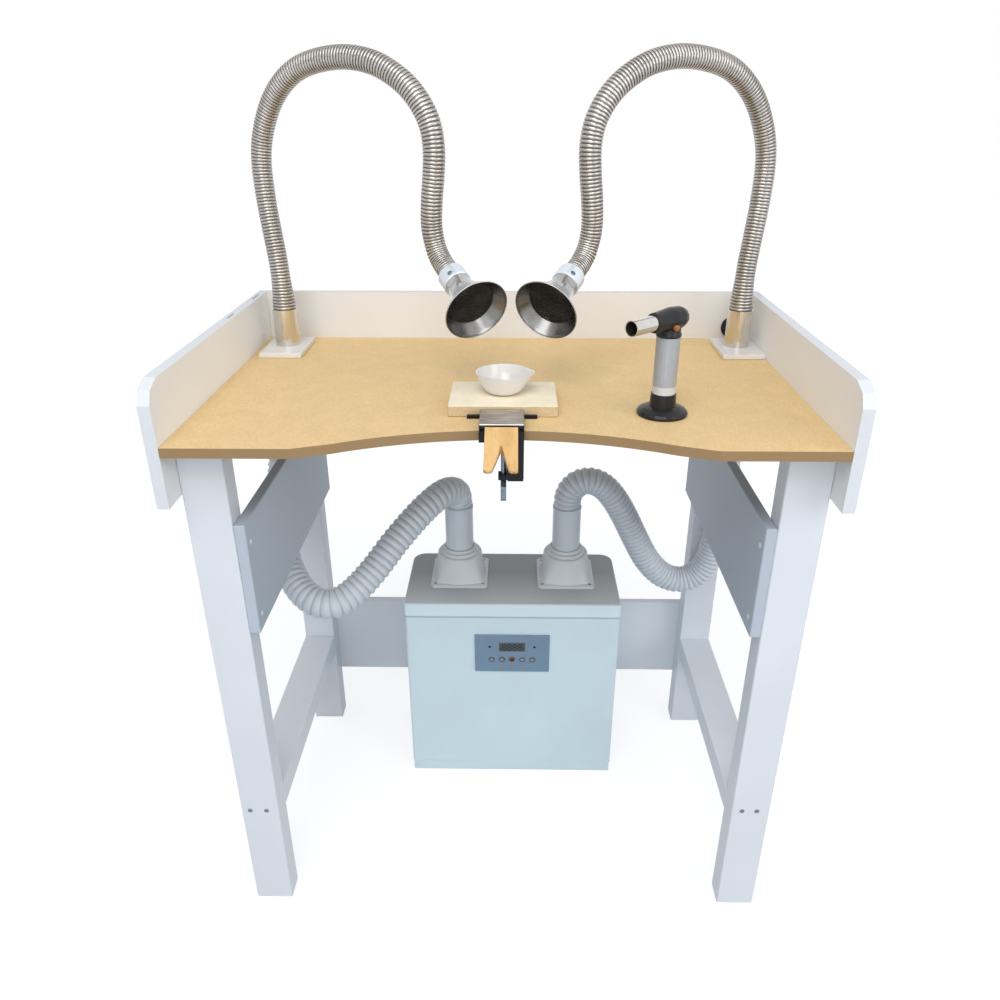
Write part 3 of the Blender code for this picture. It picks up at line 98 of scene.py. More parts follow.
# Ducts: ribbed plastic hose with a smooth cuff at the extractor
DUCT_CREST, DUCT_VALLEY, DUCT_RINGS = 0.0290, 0.0262, {"left": 72, "right": 94}
DUCT_STEPS = (
    (0.0, 0.0), (0.10, 0.10), (0.22, 0.55), (0.34, 0.90), (0.50, 1.0), (0.66, 0.90), (0.78, 0.55),
    (0.90, 0.10),
)
# The rows of faces in one rib that lie in its groove, which take a darker finish as painted shade
DUCT_GROOVE = (0, 7)
CUFF_RIBS, CUFF_RIB, CUFF_EASE = 16, 0.0003, 0.0008
CUFF_RADIUS, CUFF_BEAD, CUFF_BOTTOM, CUFF_TOP, CUFF_BEAD_HEIGHT = 0.0300, 0.0306, 0.468, 0.628, 0.006
DUCT_ROUTES = {
    "left": (
        (-0.1021, 0.517, 0.6283), (-0.1021, 0.517, 0.6420), (-0.1060, 0.506, 0.6630),
        (-0.1190, 0.480, 0.6780), (-0.1400, 0.448, 0.6790), (-0.1720, 0.412, 0.6610),
        (-0.2150, 0.365, 0.6250), (-0.2580, 0.318, 0.5810), (-0.2950, 0.282, 0.5530),
        (-0.3300, 0.262, 0.5420), (-0.3680, 0.268, 0.5470), (-0.4020, 0.298, 0.5610),
        (-0.4310, 0.345, 0.5850), (-0.4520, 0.395, 0.6220), (-0.4590, 0.440, 0.6720),
        (-0.4575, 0.480, 0.7350), (-0.4535, 0.505, 0.7900), (-0.4480, 0.511, 0.8200),
        (-0.4370, 0.5125, 0.8440), (-0.4275, 0.512, 0.8660), (-0.4250, 0.512, 0.8850),
        (-0.4250, 0.512, 0.9162),
    ),
    "right": (
        (0.1289, 0.517, 0.6283), (0.1289, 0.517, 0.6420), (0.1350, 0.517, 0.6630),
        (0.1520, 0.518, 0.6800), (0.1780, 0.519, 0.6840), (0.2040, 0.520, 0.6710),
        (0.2280, 0.521, 0.6430), (0.2520, 0.523, 0.6020), (0.2800, 0.526, 0.5450),
        (0.3100, 0.529, 0.4900), (0.3450, 0.531, 0.4520), (0.3830, 0.532, 0.4380),
        (0.4200, 0.533, 0.4500), (0.4450, 0.533, 0.4870), (0.4550, 0.532, 0.5450),
        (0.4570, 0.529, 0.6200), (0.4560, 0.523, 0.7000), (0.4520, 0.516, 0.7800),
        (0.4470, 0.512, 0.8400), (0.4420, 0.512, 0.8720), (0.4420, 0.512, 0.9162),
    ),
}

# Extractor
CASE_X, CASE_TOP, CASE_FRONT_Y = 0.0134, 0.457, FRONT_Y + 0.395
CASE_WIDTH, CASE_DEPTH, CASE_FRONT_RADIUS, CASE_REAR_RADIUS = 0.454, 0.215, 0.005, 0.028
LID_SEAM, LID_LIP, LID_EDGE, CORNER_STEPS = 0.4263, 0.0006, 0.0045, 8
COAT_COLOUR = (0.66, 0.81, 0.875)
# A darker band just under the lid seam is painted shadow; a pale band round the foot is a painted
# highlight.
SEAM_HEIGHT, SEAM_PROUD, HIGHLIGHT_LOW, HIGHLIGHT_HIGH, BAND_WALL = 0.0042, 0.0003, 0.0270, 0.0296, 0.0012
PORT_OFFSET, PORT_DEPTH, PORT_BORE, PORT_SCREW = 0.1155, 0.517, 0.0306, 0.0510
PORT_SCREW_RISE, PORT_SCREW_RADIUS = 0.0058, 0.0036
FLANGE_CORNERS = ((-1, -1), (1, -1), (1, 1), (-1, 1))
# Rings of a port: half its width, its height, and its share of round
PORT_RINGS = (
    (PORT_BORE, 0.0, 1.0), (0.0610, 0.0, 0.0), (0.0610, 0.0055, 0.0), (0.0602, 0.006, 0.0),
    (0.0575, 0.0064, 0.52), (0.0560, 0.010, 0.55), (0.0535, 0.020, 0.65), (0.0505, 0.036, 0.85),
    (0.0485, 0.052, 1.0), (0.0475, 0.058, 1.0), (0.0460, 0.060, 1.0), (0.0410, 0.0605, 1.0),
    (0.0402, 0.062, 1.0), (0.0395, 0.067, 1.0), (0.0350, 0.0675, 1.0), (0.0344, 0.069, 1.0),
    (0.0340, 0.074, 1.0), (PORT_BORE, 0.074, 1.0),
)
PANEL_FACE_Y = CASE_FRONT_Y - 0.004
WINDOW_FACE_Y = PANEL_FACE_Y - 0.0013
WINDOW_Z, BUTTON_Z, BUTTON_PITCH, BUTTON_FACE_Y = 0.3512, 0.3185, 0.0218, CASE_FRONT_Y - 0.0052
BUTTONS = ("power", "down", "mode", "up", "timer")
DIGIT_SIZE, DIGIT_PITCH, DIGIT_STROKE, DIGIT_DEPTH = (0.0075, 0.0140), 0.0115, 0.0020, 0.0003
DIGIT_COUNT, SEGMENTS, DIGIT_END, DIGIT_SINK = 4, "abcdefg", 0.6, 0.0001
LED_OFFSET, LED_RADIUS = 0.0480, 0.0030
LED_PROFILE = ((0.0, 0.0), (LED_RADIUS, 0.0), (LED_RADIUS * 0.8, 0.0005), (0.0, 0.0009))
RING_PROFILE = ((0.0040, -0.0002), (0.0062, -0.0002), (0.0059, 0.0003), (0.0042, 0.0003))

# Small fittings
LEG_FRONT_Y, PANEL_INNER_X = FRONT_Y + 0.0483, 0.3957
LEG_SCREWS = ((-0.466, 0.230), (-0.436, 0.230), (0.432, 0.243), (0.459, 0.243))
PANEL_SCREWS = ((-0.2428, 0.784), (-0.2396, 0.650))
SCREW_RADIUS, SCREW_DOME = 0.0045, 0.0011
DISH_PLACE = (-0.003, FRONT_Y + 0.198, TOP_HEIGHT + 0.0186)
DISH_RADIUS, DISH_FOOT, DISH_HEIGHT, DISH_WALL = 0.0436, 0.0205, 0.033, 0.0028
DISH_FLARE, DISH_STEPS, DISH_SPOUT, SPOUT_ANGLE = 0.50, 16, 0.006, 28.0
# The dish: the rise of its rim, and the width and hollow of the ring under its foot
DISH_RIM, FOOT_RING, FOOT_HOLLOW = 0.0004, (0.002, 0.003), 0.0012

# Torch and bench pin
SLEEVE_FOOT, SLEEVE_HEIGHT = TOP_HEIGHT + 0.0335, 0.0875
HEAD_VOXEL, HEAD_SMOOTH, HEAD_EASE = 0.0011, 12, 0.5
TORCH_AIM, NOZZLE_BASE = Vector((-0.74, -0.67, 0.0)).normalized(), 0.0393
TORCH_AXIS, TORCH_FOOT = Vector((0, 0, 0.146)), (0.242, 0.151, TOP_HEIGHT + GAP)
BORE_RADIUS, BORE_FLOOR, BORE_REACH, SOOT = 0.0105, 0.0062, 0.0460, 0.0004
PIN_SLOPE, PIN_THINNING = math.radians(21.0), 0.62

# Solids whose finish differs from their slot's; for the side panels and the boards it is a lighter or
# darker copy of their white paint, as painted light and shade
FINISH_OF = {
    "left_arm_tube": "polished_tube", "right_arm_tube": "polished_tube",
    "left_side_panel": "panel_paint_painted_shade", "right_side_panel": "panel_paint_painted_shade",
    "back_board": "back_paint_painted_shade", "left_side_board": "gallery_paint_light_and_shade", "right_side_board": "gallery_paint_light_and_shade",
    "mode_button": "lamp_dark",
}

# Studio: a floor that looks white, a surround that is brighter in front, and three soft lamps
FLOOR_SIZE, FLOOR_DROP = 12.0, 0.0005
FLOOR_COLOUR, FLOOR_GLOW, FLOOR_REACH = (0.36, 0.37, 0.39), (0.72, 0.84), (1.0, 5.0)
WORLD_COLOUR, WORLD_FROM, WORLD_LIGHT = (0.95, 0.975, 1.0), (0.0, -0.8, 0.6), (0.24, 0.73)
LAMP_AIM = (0.0, 0.0, 0.8)
LAMPS = (
    ("key", (-0.35, -1.7, 3.3), 1.8, 38.0), ("fill", (2.5, -1.8, 2.1), 2.2, 28.0),
    ("front", (-0.2, -3.4, 1.4), 2.4, 22.0),
)

# Sides of round pieces, from large ones to small ones
VERY_FINE, FINE, MEDIUM, COARSE, SMALL = 96, 64, 32, 28, 24
CURVE_STEPS, MERGE_DISTANCE, SHARP_ANGLE = 40, 1e-6, math.radians(38.0)


def at(x, depth, z):
    """A point given by its depth back from the front edge of the bench top."""
    return Vector((x, FRONT_Y + depth, z))


def piece(name, bm, finish, body, replaced=()):
    """A named mesh that rides on a body, with its finish and the nodes that it stands for."""
    bmesh.ops.remove_doubles(bm, verts=bm.verts, dist=MERGE_DISTANCE)
    bmesh.ops.recalc_face_normals(bm, faces=bm.faces)
    mesh = bpy.data.meshes.new(name)
    bm.to_mesh(mesh)
    bm.free()
    mesh.shade_smooth()
    mesh.set_sharp_from_angle(angle=SHARP_ANGLE)
    mesh.materials.append(finish)
    obj = bpy.data.objects.new(name, mesh)
    bpy.context.scene.collection.objects.link(obj)
    if body:
        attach(obj, body)
    if replaced:
        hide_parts(*replaced)
    return obj


def along(origin, direction):
    """A frame at a point whose +Z runs along a direction."""
    turn = Vector(direction).to_track_quat("Z", "Y").to_matrix().to_4x4()
    return Matrix.Translation(Vector(origin)) @ turn


def turned(profile, place, steps=FINE):
    """A closed profile of (radius, height) points turned about +Z."""
    bm = bmesh.new()
    verts = [bm.verts.new((radius, 0.0, height)) for radius, height in profile]
    edges = [bm.edges.new(pair) for pair in zip(verts, verts[1:] + verts[:1])]
    bmesh.ops.spin(bm, geom=verts + edges, axis=(0, 0, 1), cent=(0, 0, 0), steps=steps, angle=math.tau)
    bmesh.ops.remove_doubles(bm, verts=bm.verts, dist=MERGE_DISTANCE)
    bmesh.ops.dissolve_degenerate(bm, edges=bm.edges, dist=MERGE_DISTANCE / 10)
    bmesh.ops.transform(bm, matrix=place, verts=bm.verts)
    return bm


def block(low, high):
    """A box between two corners."""
    low, high = Vector(low), Vector(high)
    bm = bmesh.new()
    move = Matrix.Translation((low + high) / 2) @ Matrix.Diagonal((*(high - low), 1.0))
    bmesh.ops.create_cube(bm, size=1.0, matrix=move)
    return bm


def joined(shapes):
    """Several bmesh shapes as one."""
    whole = bmesh.new()
    for shape in shapes:
        mesh = bpy.data.meshes.new("part")
        shape.to_mesh(mesh)
        shape.free()
        whole.from_mesh(mesh)
        bpy.data.meshes.remove(mesh)
    return whole


def smooth_line(route, count):
    """A number of evenly spaced points on a smooth curve through a route."""
    points = [Vector(point) for point in route]
    ends = [2 * points[0] - points[1], *points, 2 * points[-1] - points[-2]]
    fine = []
    for before, first, second, after in zip(ends, ends[1:], ends[2:], ends[3:]):
        for step in range(CURVE_STEPS):
            t = step / CURVE_STEPS
            fine.append(
                0.5 * (2 * first + (second - before) * t
                       + (2 * before - 5 * first + 4 * second - after) * t**2
                       + (3 * first - before - 3 * second + after) * t**3)
            )
    fine.append(points[-1])
    lengths = [0.0]
    for one, two in zip(fine, fine[1:]):
        lengths.append(lengths[-1] + (two - one).length)
    line, index = [], 0
    for step in range(count + 1):
        wanted = lengths[-1] * step / count
        while index < len(fine) - 2 and lengths[index + 1] < wanted:
            index += 1
        share = (wanted - lengths[index]) / (lengths[index + 1] - lengths[index])
        line.append(fine[index].lerp(fine[index + 1], share))
    return line


def swept(line, radii, sides):
    """A closed round skin along a line, with a radius at each point and no twist."""
    bm = bmesh.new()
    rings = []
    forward = (line[1] - line[0]).normalized()
    across = forward.orthogonal().normalized()
    for index, point in enumerate(line):
        before, after = line[max(index - 1, 0)], line[min(index + 1, len(line) - 1)]
        turn = forward.rotation_difference((after - before).normalized())
        forward = (after - before).normalized()
        across = (turn @ across).normalized()
        up = forward.cross(across)
        ring = []
        for step in range(sides):
            angle = math.tau * step / sides
            spot = point + (across * math.cos(angle) + up * math.sin(angle)) * radii[index]
            ring.append(bm.verts.new(spot))
        rings.append(ring)
    for one, two in zip(rings, rings[1:]):
        for step in range(sides):
            after = (step + 1) % sides
            bm.faces.new((one[step], one[after], two[after], two[step]))
    bm.faces.new(rings[0][::-1])
    bm.faces.new(rings[-1])
    return bm


class Nodes:
    """A material's node tree, with short calls for what the finishes share."""

    def __init__(self, name, colour, roughness, metallic=0.0):
        self.material = bpy.data.materials.new(name)
        self.material.use_nodes = True
        self.tree = self.material.node_tree
        self.shader = self.tree.nodes["Principled BSDF"]
        self.shader.inputs["Base Color"].default_value = (*colour, 1.0)
        self.shader.inputs["Roughness"].default_value = roughness
        self.shader.inputs["Metallic"].default_value = metallic
        self.coordinates = self.tree.nodes.new("ShaderNodeTexCoord").outputs["Object"]

    def link(self, output, target):
        self.tree.links.new(output, target)

    def noise(self, scale, detail=4.0, stretch=(1.0, 1.0, 1.0), turn=(0.0, 0.0, 0.0)):
        mapping = self.tree.nodes.new("ShaderNodeMapping")
        mapping.inputs["Scale"].default_value = stretch
        mapping.inputs["Rotation"].default_value = turn
        self.link(self.coordinates, mapping.inputs["Vector"])
        noise = self.tree.nodes.new("ShaderNodeTexNoise")
        noise.inputs["Scale"].default_value = scale
        noise.inputs["Detail"].default_value = detail
        self.link(mapping.outputs["Vector"], noise.inputs["Vector"])
        return noise.outputs["Fac"]

    def ramp(self, value, stops):
        """Colours, or greys, at places between 0 and 1."""
        ramp = self.tree.nodes.new("ShaderNodeValToRGB")
        elements = ramp.color_ramp.elements
        while len(elements) < len(stops):
            elements.new(0.5)
        for element, (place, colour) in zip(elements, stops):
            element.position = place
            element.color = (*colour, 1.0)
        self.link(value, ramp.inputs["Fac"])
        return ramp.outputs["Color"]

    def mixed(self, share, one, two, mode="MIX"):
        mix = self.tree.nodes.new("ShaderNodeMix")
        mix.data_type = "RGBA"
        mix.blend_type = mode
        for key, value in (("Factor_Float", share), ("A_Color", one), ("B_Color", two)):
            socket = next(item for item in mix.inputs if item.identifier == key)
            if isinstance(value, bpy.types.NodeSocket):
                self.link(value, socket)
            elif key == "Factor_Float":
                socket.default_value = value
            else:
                socket.default_value = (*value, 1.0)
        return next(item for item in mix.outputs if item.identifier == "Result_Color")

    def axes(self, vector):
        """A vector's X, Y and Z as separate outputs."""
        split = self.tree.nodes.new("ShaderNodeSeparateXYZ")
        self.link(vector, split.inputs["Vector"])
        return split.outputs

    def facing(self):
        return self.axes(self.tree.nodes.new("ShaderNodeNewGeometry").outputs["Normal"])

    def upward(self):
        """1 on faces that look up, 0 on upright ones."""
        return self.facing()["Z"]

    def sideways(self):
        """1 on faces that look to the left or right, 0 on the others."""
        size = self.tree.nodes.new("ShaderNodeMath")
        size.operation = "ABSOLUTE"
        self.link(self.facing()["X"], size.inputs[0])
        return size.outputs["Value"]

    def reach(self, axis, low, high):
        """0 at one place along an axis and 1 at another."""
        span = self.tree.nodes.new("ShaderNodeMapRange")
        span.inputs["From Min"].default_value = low
        span.inputs["From Max"].default_value = high
        self.link(self.axes(self.coordinates)[axis], span.inputs["Value"])
        return span.outputs["Result"]

    def colour(self, output):
        self.link(output, self.shader.inputs["Base Color"])

    def rough(self, value, low, high):
        span = self.tree.nodes.new("ShaderNodeMapRange")
        span.inputs["To Min"].default_value = low
        span.inputs["To Max"].default_value = high
        self.link(value, span.inputs["Value"])
        self.link(span.outputs["Result"], self.shader.inputs["Roughness"])

    def bump(self, value, strength, distance):
        bump = self.tree.nodes.new("ShaderNodeBump")
        bump.inputs["Strength"].default_value = strength
        bump.inputs["Distance"].default_value = distance
        self.link(value, bump.inputs["Height"])
        self.link(bump.outputs["Normal"], self.shader.inputs["Normal"])


def shade(colour, factor):
    return tuple(min(1.0, channel * factor) for channel in colour)


def plain(
    name, colour, roughness, metallic=0.0, spread=0.05, scale=14.0, grain=260.0, depth=0.0002,
    coat=0.0, gloss=0.5,
):
    """A moulded, painted or cast surface: soft colour drift, uneven gloss and a fine grain."""
    made = Nodes(name, colour, roughness, metallic)
    drift = made.noise(scale)
    fine = made.noise(grain, 3.0)
    made.colour(made.ramp(drift, [(0.3, shade(colour, 1.0 - spread)), (0.7, shade(colour, 1.0 + spread))]))
    made.rough(fine, max(0.02, roughness - 0.06), roughness + 0.06)
    made.bump(fine, 0.25, depth)
    made.shader.inputs["Specular IOR Level"].default_value = gloss
    made.shader.inputs["Coat Weight"].default_value = coat
    made.shader.inputs["Coat Roughness"].default_value = 0.08
    return made.material


def brushed(name, colour, roughness, stretch, turn=(0.0, 0.0, 0.0), spread=0.22, relief=0.08):
    """Metal with fine polishing lines."""
    made = Nodes(name, colour, roughness, 1.0)
    lines = made.noise(90.0, 5.0, stretch, turn)
    drift = made.noise(9.0)
    tone = made.ramp(lines, [(0.3, shade(colour, 1.0 - spread)), (0.7, shade(colour, 1.0 + spread * 0.6))])
    dull = made.ramp(drift, [(0.35, (0.80, 0.80, 0.80)), (0.65, (1.0, 1.0, 1.0))])
    made.colour(made.mixed(1.0, tone, dull, "MULTIPLY"))
    made.rough(lines, roughness - 0.07, roughness + 0.08)
    made.bump(lines, relief, 0.0002)
    return made.material


def fibreboard():
    """Bare fibreboard: fine pressed fibres, pale blotches, and cut edges darker, partly by their own tone
    and partly as painted shade.
    """
    face, fleck, edge = (0.82, 0.590, 0.295), (0.755, 0.538, 0.264), (0.31, 0.197, 0.092)
    made = Nodes("fibreboard", face, 0.62)
    fibres = made.noise(260.0, 6.0, (1.0, 0.6, 1.0))
    blotch = made.noise(26.0, 5.0)
    fine = made.ramp(fibres, [(0.38, fleck), (0.58, face)])
    tone = made.ramp(blotch, [(0.3, (0.93, 0.93, 0.92)), (0.7, (1.0, 1.0, 1.0))])
    top = made.mixed(1.0, fine, tone, "MULTIPLY")
    # Faces that don't look up take the dark edge colour: partly the cut edge's own tone, partly painted
    # shade.
    made.colour(made.mixed(made.upward(), edge, top))
    made.rough(fibres, 0.52, 0.70)
    made.bump(fibres, 0.20, 0.0003)
    return made.material


def soft_board():
    """Insulating board: chalky cream above, with small pits, and tan on its sides, partly the cut edges'
    own tone and partly painted shade.
    """
    face, edge = (0.89, 0.80, 0.62), (0.645, 0.50, 0.305)
    made = Nodes("soft_board", face, 0.85)
    fine = made.noise(300.0, 5.0)
    blotch = made.noise(40.0)
    top = made.ramp(blotch, [(0.3, shade(face, 0.93)), (0.7, shade(face, 1.03))])
    # Faces that don't look up take the tan edge colour: partly the cut edges' own tone, partly painted
    # shade.
    made.colour(made.mixed(made.upward(), made.ramp(fine, [(0.3, shade(edge, 0.8)), (0.7, edge)]), top))
    made.rough(fine, 0.78, 0.92)
    made.bump(fine, 0.35, 0.0004)
    return made.material


def beech():
    """Bare beech, with its grain along the pin and short dark flecks."""
    pale, dark = (0.745, 0.485, 0.21), (0.635, 0.375, 0.14)
    made = Nodes("beech", pale, 0.55)
    lean = (-PIN_SLOPE, 0.0, 0.0)
    grain = made.noise(60.0, 6.0, (1.0, 0.08, 0.30), lean)
    flecks = made.noise(420.0, 2.0, (1.0, 0.12, 0.5), lean)
    base = made.ramp(grain, [(0.30, dark), (0.62, pale)])
    marks = made.ramp(flecks, [(0.28, (0.84, 0.78, 0.72)), (0.40, (1.0, 1.0, 1.0))])
    made.colour(made.mixed(1.0, base, marks, "MULTIPLY"))
    made.rough(grain, 0.48, 0.65)
    made.bump(flecks, 0.25, 0.0002)
    return made.material


def sleeve():
    """The torch's satin grey sleeve, paler in a band round its foot."""
    grey, pale = (0.385, 0.405, 0.432), (0.63, 0.645, 0.66)
    made = Nodes("torch_sleeve", grey, 0.36, 0.15)
    height = made.reach("Z", SLEEVE_FOOT, SLEEVE_FOOT + SLEEVE_HEIGHT)
    bands = made.ramp(height, [(0.0, pale), (0.13, pale), (0.16, grey)])
    drift = made.ramp(made.noise(90.0), [(0.3, (0.93, 0.93, 0.93)), (0.7, (1.0, 1.0, 1.0))])
    made.colour(made.mixed(1.0, bands, drift, "MULTIPLY"))
    fine = made.noise(700.0, 3.0)
    made.rough(fine, 0.28, 0.44)
    made.bump(fine, 0.15, 0.0001)
    return made.material


def lid_coat_painted_light_and_shade():
    """The extractor lid's powder coat: a brighter copy of the case's coat on its upright faces, as painted
    light, and a grey top that darkens towards the rear, as painted shade.
    """
    # The upright faces take the case's coat made brighter: painted light.
    coat, grey = shade(COAT_COLOUR, 1.08), (0.36, 0.385, 0.40)
    made = Nodes("lid_coat_painted_light_and_shade", coat, 0.42)
    back = made.reach("Y", CASE_FRONT_Y, CASE_FRONT_Y + CASE_DEPTH)
    # The top is grey and darker towards the rear: painted shade from the bench top and the ports.
    flat = made.ramp(back, [(0.0, shade(grey, 1.7)), (0.6, shade(grey, 0.8))])
    made.colour(made.mixed(made.upward(), coat, flat))
    fine = made.noise(900.0, 3.0)
    made.rough(fine, 0.36, 0.48)
    made.bump(fine, 0.25, 0.0002)
    return made.material


def gallery():
    """The side boards: their white paint made brighter on the faces that look left or right, as painted
    light, and greyer and cooler on the front, top and back faces, as painted shade.
    """
    face, edge = (0.87, 0.87, 0.87), (0.70, 0.73, 0.77)
    made = Nodes("gallery_paint_light_and_shade", face, 0.45)
    fine = made.noise(180.0, 3.0)
    drift = made.ramp(made.noise(4.0), [(0.3, shade(face, 0.98)), (0.7, shade(face, 1.02))])
    # Left- and right-looking faces take the brighter colour, painted light; the others take the greyer,
    # cooler one, painted shade.
    made.colour(made.mixed(made.sideways(), edge, drift))
    made.rough(fine, 0.39, 0.51)
    made.bump(fine, 0.25, 0.0002)
    return made.material


def anvil():
    """Ground steel with pale drag marks across its face, partly painted sheen, dark round its sides."""
    face, pale, side = (0.52, 0.49, 0.465), (0.74, 0.71, 0.68), (0.045, 0.045, 0.05)
    made = Nodes("anvil_steel", face, 0.40, 1.0)
    # Pale diagonal streaks on the face: drag marks, partly painted sheen.
    drags_and_sheen = made.noise(34.0, 4.0, (1.0, 5.0, 1.0), (0.0, 0.0, 0.75))
    lines = made.noise(160.0, 5.0, (1.0, 7.0, 1.0), (0.0, 0.0, 0.75))
    top = made.mixed(1.0, made.ramp(drags_and_sheen, [(0.42, face), (0.62, pale)]),
                     made.ramp(lines, [(0.3, (0.82, 0.82, 0.82)), (0.7, (1.0, 1.0, 1.0))]), "MULTIPLY")
    made.colour(made.mixed(made.upward(), side, top))
    made.rough(lines, 0.32, 0.48)
    made.bump(lines, 0.10, 0.0002)
    return made.material


def finishes():
    """Every finish by the record's slot, with a few more for small fittings."""
    return {
        "mdf": fibreboard(),
        "white_paint": plain(
            "white_paint", (0.735, 0.775, 0.83), 0.42, spread=0.025, scale=5.0, grain=180.0,
        ),
        "black_plastic": plain("black_plastic", (0.022, 0.022, 0.024), 0.24, spread=0.2, gloss=0.22),
        "stainless": brushed("stainless", (0.53, 0.505, 0.475), 0.29, (1.0, 1.0, 6.0)),
        "white_plastic": plain("white_plastic", (0.73, 0.71, 0.69), 0.30, spread=0.03),
        "zinc_sleeve": plain("zinc_sleeve", (0.70, 0.77, 0.84), 0.30, 0.55, spread=0.08),
        "powder_coat": plain("powder_coat", COAT_COLOUR, 0.42, spread=0.03, scale=6.0, grain=900.0),
        "panel_film": plain("panel_film", (0.165, 0.262, 0.365), 0.34, spread=0.06),
        "smoked_window": plain("smoked_window", (0.072, 0.088, 0.10), 0.20, spread=0.2, gloss=0.3),
        "button_grey": plain("button_grey", (0.24, 0.29, 0.33), 0.35),
        "button_orange": plain("button_orange", (0.30, 0.12, 0.035), 0.40, gloss=0.3),
        "port_plastic": plain("port_plastic", (0.66, 0.70, 0.735), 0.40, spread=0.04),
        "duct_pvc": plain("duct_pvc", (0.635, 0.69, 0.745), 0.36, spread=0.04, scale=10.0),
        "filter_media": plain("filter_media", (0.72, 0.72, 0.68), 0.90, grain=500.0, depth=0.0008),
        "dark_mesh": plain("dark_mesh", (0.045, 0.040, 0.035), 0.45, 0.7, spread=0.3),
        "clamp_black": plain(
            "clamp_black", (0.010, 0.010, 0.012), 0.38, spread=0.25, depth=0.0004, gloss=0.2,
        ),
        "anvil_steel": anvil(),
        "pin_wood": beech(),
        "screw_steel": brushed("screw_steel", (0.21, 0.255, 0.30), 0.35, (1.0, 1.0, 5.0)),
        "solder_board": soft_board(),
        "porcelain": plain("porcelain", (0.73, 0.70, 0.67), 0.16, spread=0.015, depth=0.00005, coat=0.6),
        "torch_sleeve": sleeve(),
        "torch_chrome": brushed("torch_chrome", (0.78, 0.76, 0.74), 0.10, (6.0, 1.0, 1.0), spread=0.06),
        "button_ring": plain("button_ring", (0.045, 0.055, 0.065), 0.35, gloss=0.3),
        "digit": plain("digit", (0.012, 0.012, 0.013), 0.30, gloss=0.2),
        # Dark steel for the hose's grooves: painted shade.
        "neck_groove_painted_shade": brushed("neck_groove_painted_shade", (0.20, 0.19, 0.18), 0.40, (1.0, 1.0, 6.0)),
        # Darker plastic for the duct's grooves: painted shade.
        "duct_groove_painted_shade": plain("duct_groove_painted_shade", (0.47, 0.51, 0.56), 0.45, spread=0.04, scale=10.0),
        # The hood's steel made dark for the inside of the funnel: painted shade.
        "hood_inside_painted_shade": brushed(
            "hood_inside_painted_shade", (0.27, 0.267, 0.264), 0.26, (1.0, 1.0, 6.0), spread=0.08, relief=0.01,
        ),
        "hood_polish": brushed(
            "hood_polish", (0.54, 0.53, 0.52), 0.20, (1.0, 1.0, 6.0), spread=0.06, relief=0.01,
        ),
        # The back board's copy of the white paint, warmer and greyer: painted shade with a painted warm
        # cast.
        "back_paint_painted_shade": plain("back_paint_painted_shade", (0.76, 0.75, 0.73), 0.45, spread=0.02, scale=4.0, grain=180.0),
        "gallery_paint_light_and_shade": gallery(),
        "lid_coat_painted_light_and_shade": lid_coat_painted_light_and_shade(),
        "burnt_steel": plain("burnt_steel", (0.022, 0.021, 0.02), 0.55, spread=0.3, gloss=0.2),
        "lamp_dark": plain("lamp_dark", (0.02, 0.022, 0.025), 0.25, gloss=0.3),
        "polished_tube": brushed("polished_tube", (0.86, 0.82, 0.76), 0.15, (7.0, 7.0, 0.3), spread=0.10),
        # The side panels' white paint made grey-blue: painted shade under the bench top.
        "panel_paint_painted_shade": plain(
            "panel_paint_painted_shade", (0.465, 0.53, 0.61), 0.48, spread=0.03, scale=4.0, grain=180.0,
        ),
        # Bands round the case: a painted shadow under the lid and a painted highlight round the foot.
        "seam_shade": plain("seam_shade", (0.44, 0.53, 0.59), 0.50),
        "painted_highlight_line": plain("painted_highlight_line", (0.70, 0.785, 0.835), 0.40),
    }


def dress_solids(looks):
    """Gives every solid that stays in view its finish."""
    slots = {row["node"]: row["material_slot"] for row in frame["record"]["subparts"]}
    for name, obj in frame["nodes"].items():
        obj.data.materials.clear()
        obj.data.materials.append(looks[FINISH_OF.get(name, slots[name])])


def ringed(line, rings, steps, valley, crest):
    """The points and radii of a hose, from the places and heights along one ring."""
    points, radii = [], []
    for ring in range(rings):
        for place, height in steps:
            points.append(line[round((ring + place) * RING_SAMPLES)])
            radii.append(valley + (crest - valley) * height)
    return points + [line[-1]], radii + [valley]


def darken_grooves(hose, rows, grooves, finish, skip=0):
    """Gives the faces in a hose's grooves a darker finish of their own, as painted shade, after some rows
    that are skipped.
    """
    hose.data.materials.append(finish)
    for face in hose.data.polygons:
        row = face.index // COARSE - skip
        if row >= 0 and row % rows in grooves:
            face.material_index = 1


def neck_line(side):
    sign = SIDES[side]
    shift = ARM_X[side] - sign * abs(NECK_ROUTE[0][0])
    route = [at(sign * abs(x) + shift, depth, z) for x, depth, z in NECK_ROUTE]
    return smooth_line(route, NECK_RINGS * RING_SAMPLES)


def build_gooseneck(side, looks):
    """The interlocked steel hose, which bends towards its hood."""
    line, radii = ringed(neck_line(side), NECK_RINGS, NECK_STEPS, NECK_VALLEY, NECK_CREST)
    for index, point in enumerate(line):
        rise = min(1.0, max(0.0, (point.z - TUBE_TOP) / NECK_FLARE_LENGTH))
        if index < len(line) / 2:
            radii[index] *= NECK_FLARE + (1.0 - NECK_FLARE) * rise
    split = round(NECK_RINGS * (1.0 - NECK_TIP_SHARE)) * len(NECK_STEPS)
    run = swept(line[: split + 1], radii[: split + 1], COARSE)
    steel, arm = looks["stainless"], f"{side}_arm"
    hose = piece(f"{side}_steel_hose", run, steel, arm, [f"{side}_gooseneck"])
    end = swept(line[split:], radii[split:], COARSE)
    tip = piece(f"{side}_hose_tip", end, steel, None, [f"{side}_gooseneck_tip"])
    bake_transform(tip)
    for part in (hose, tip):
        darken_grooves(part, len(NECK_STEPS), NECK_GROOVE, looks["neck_groove_painted_shade"])


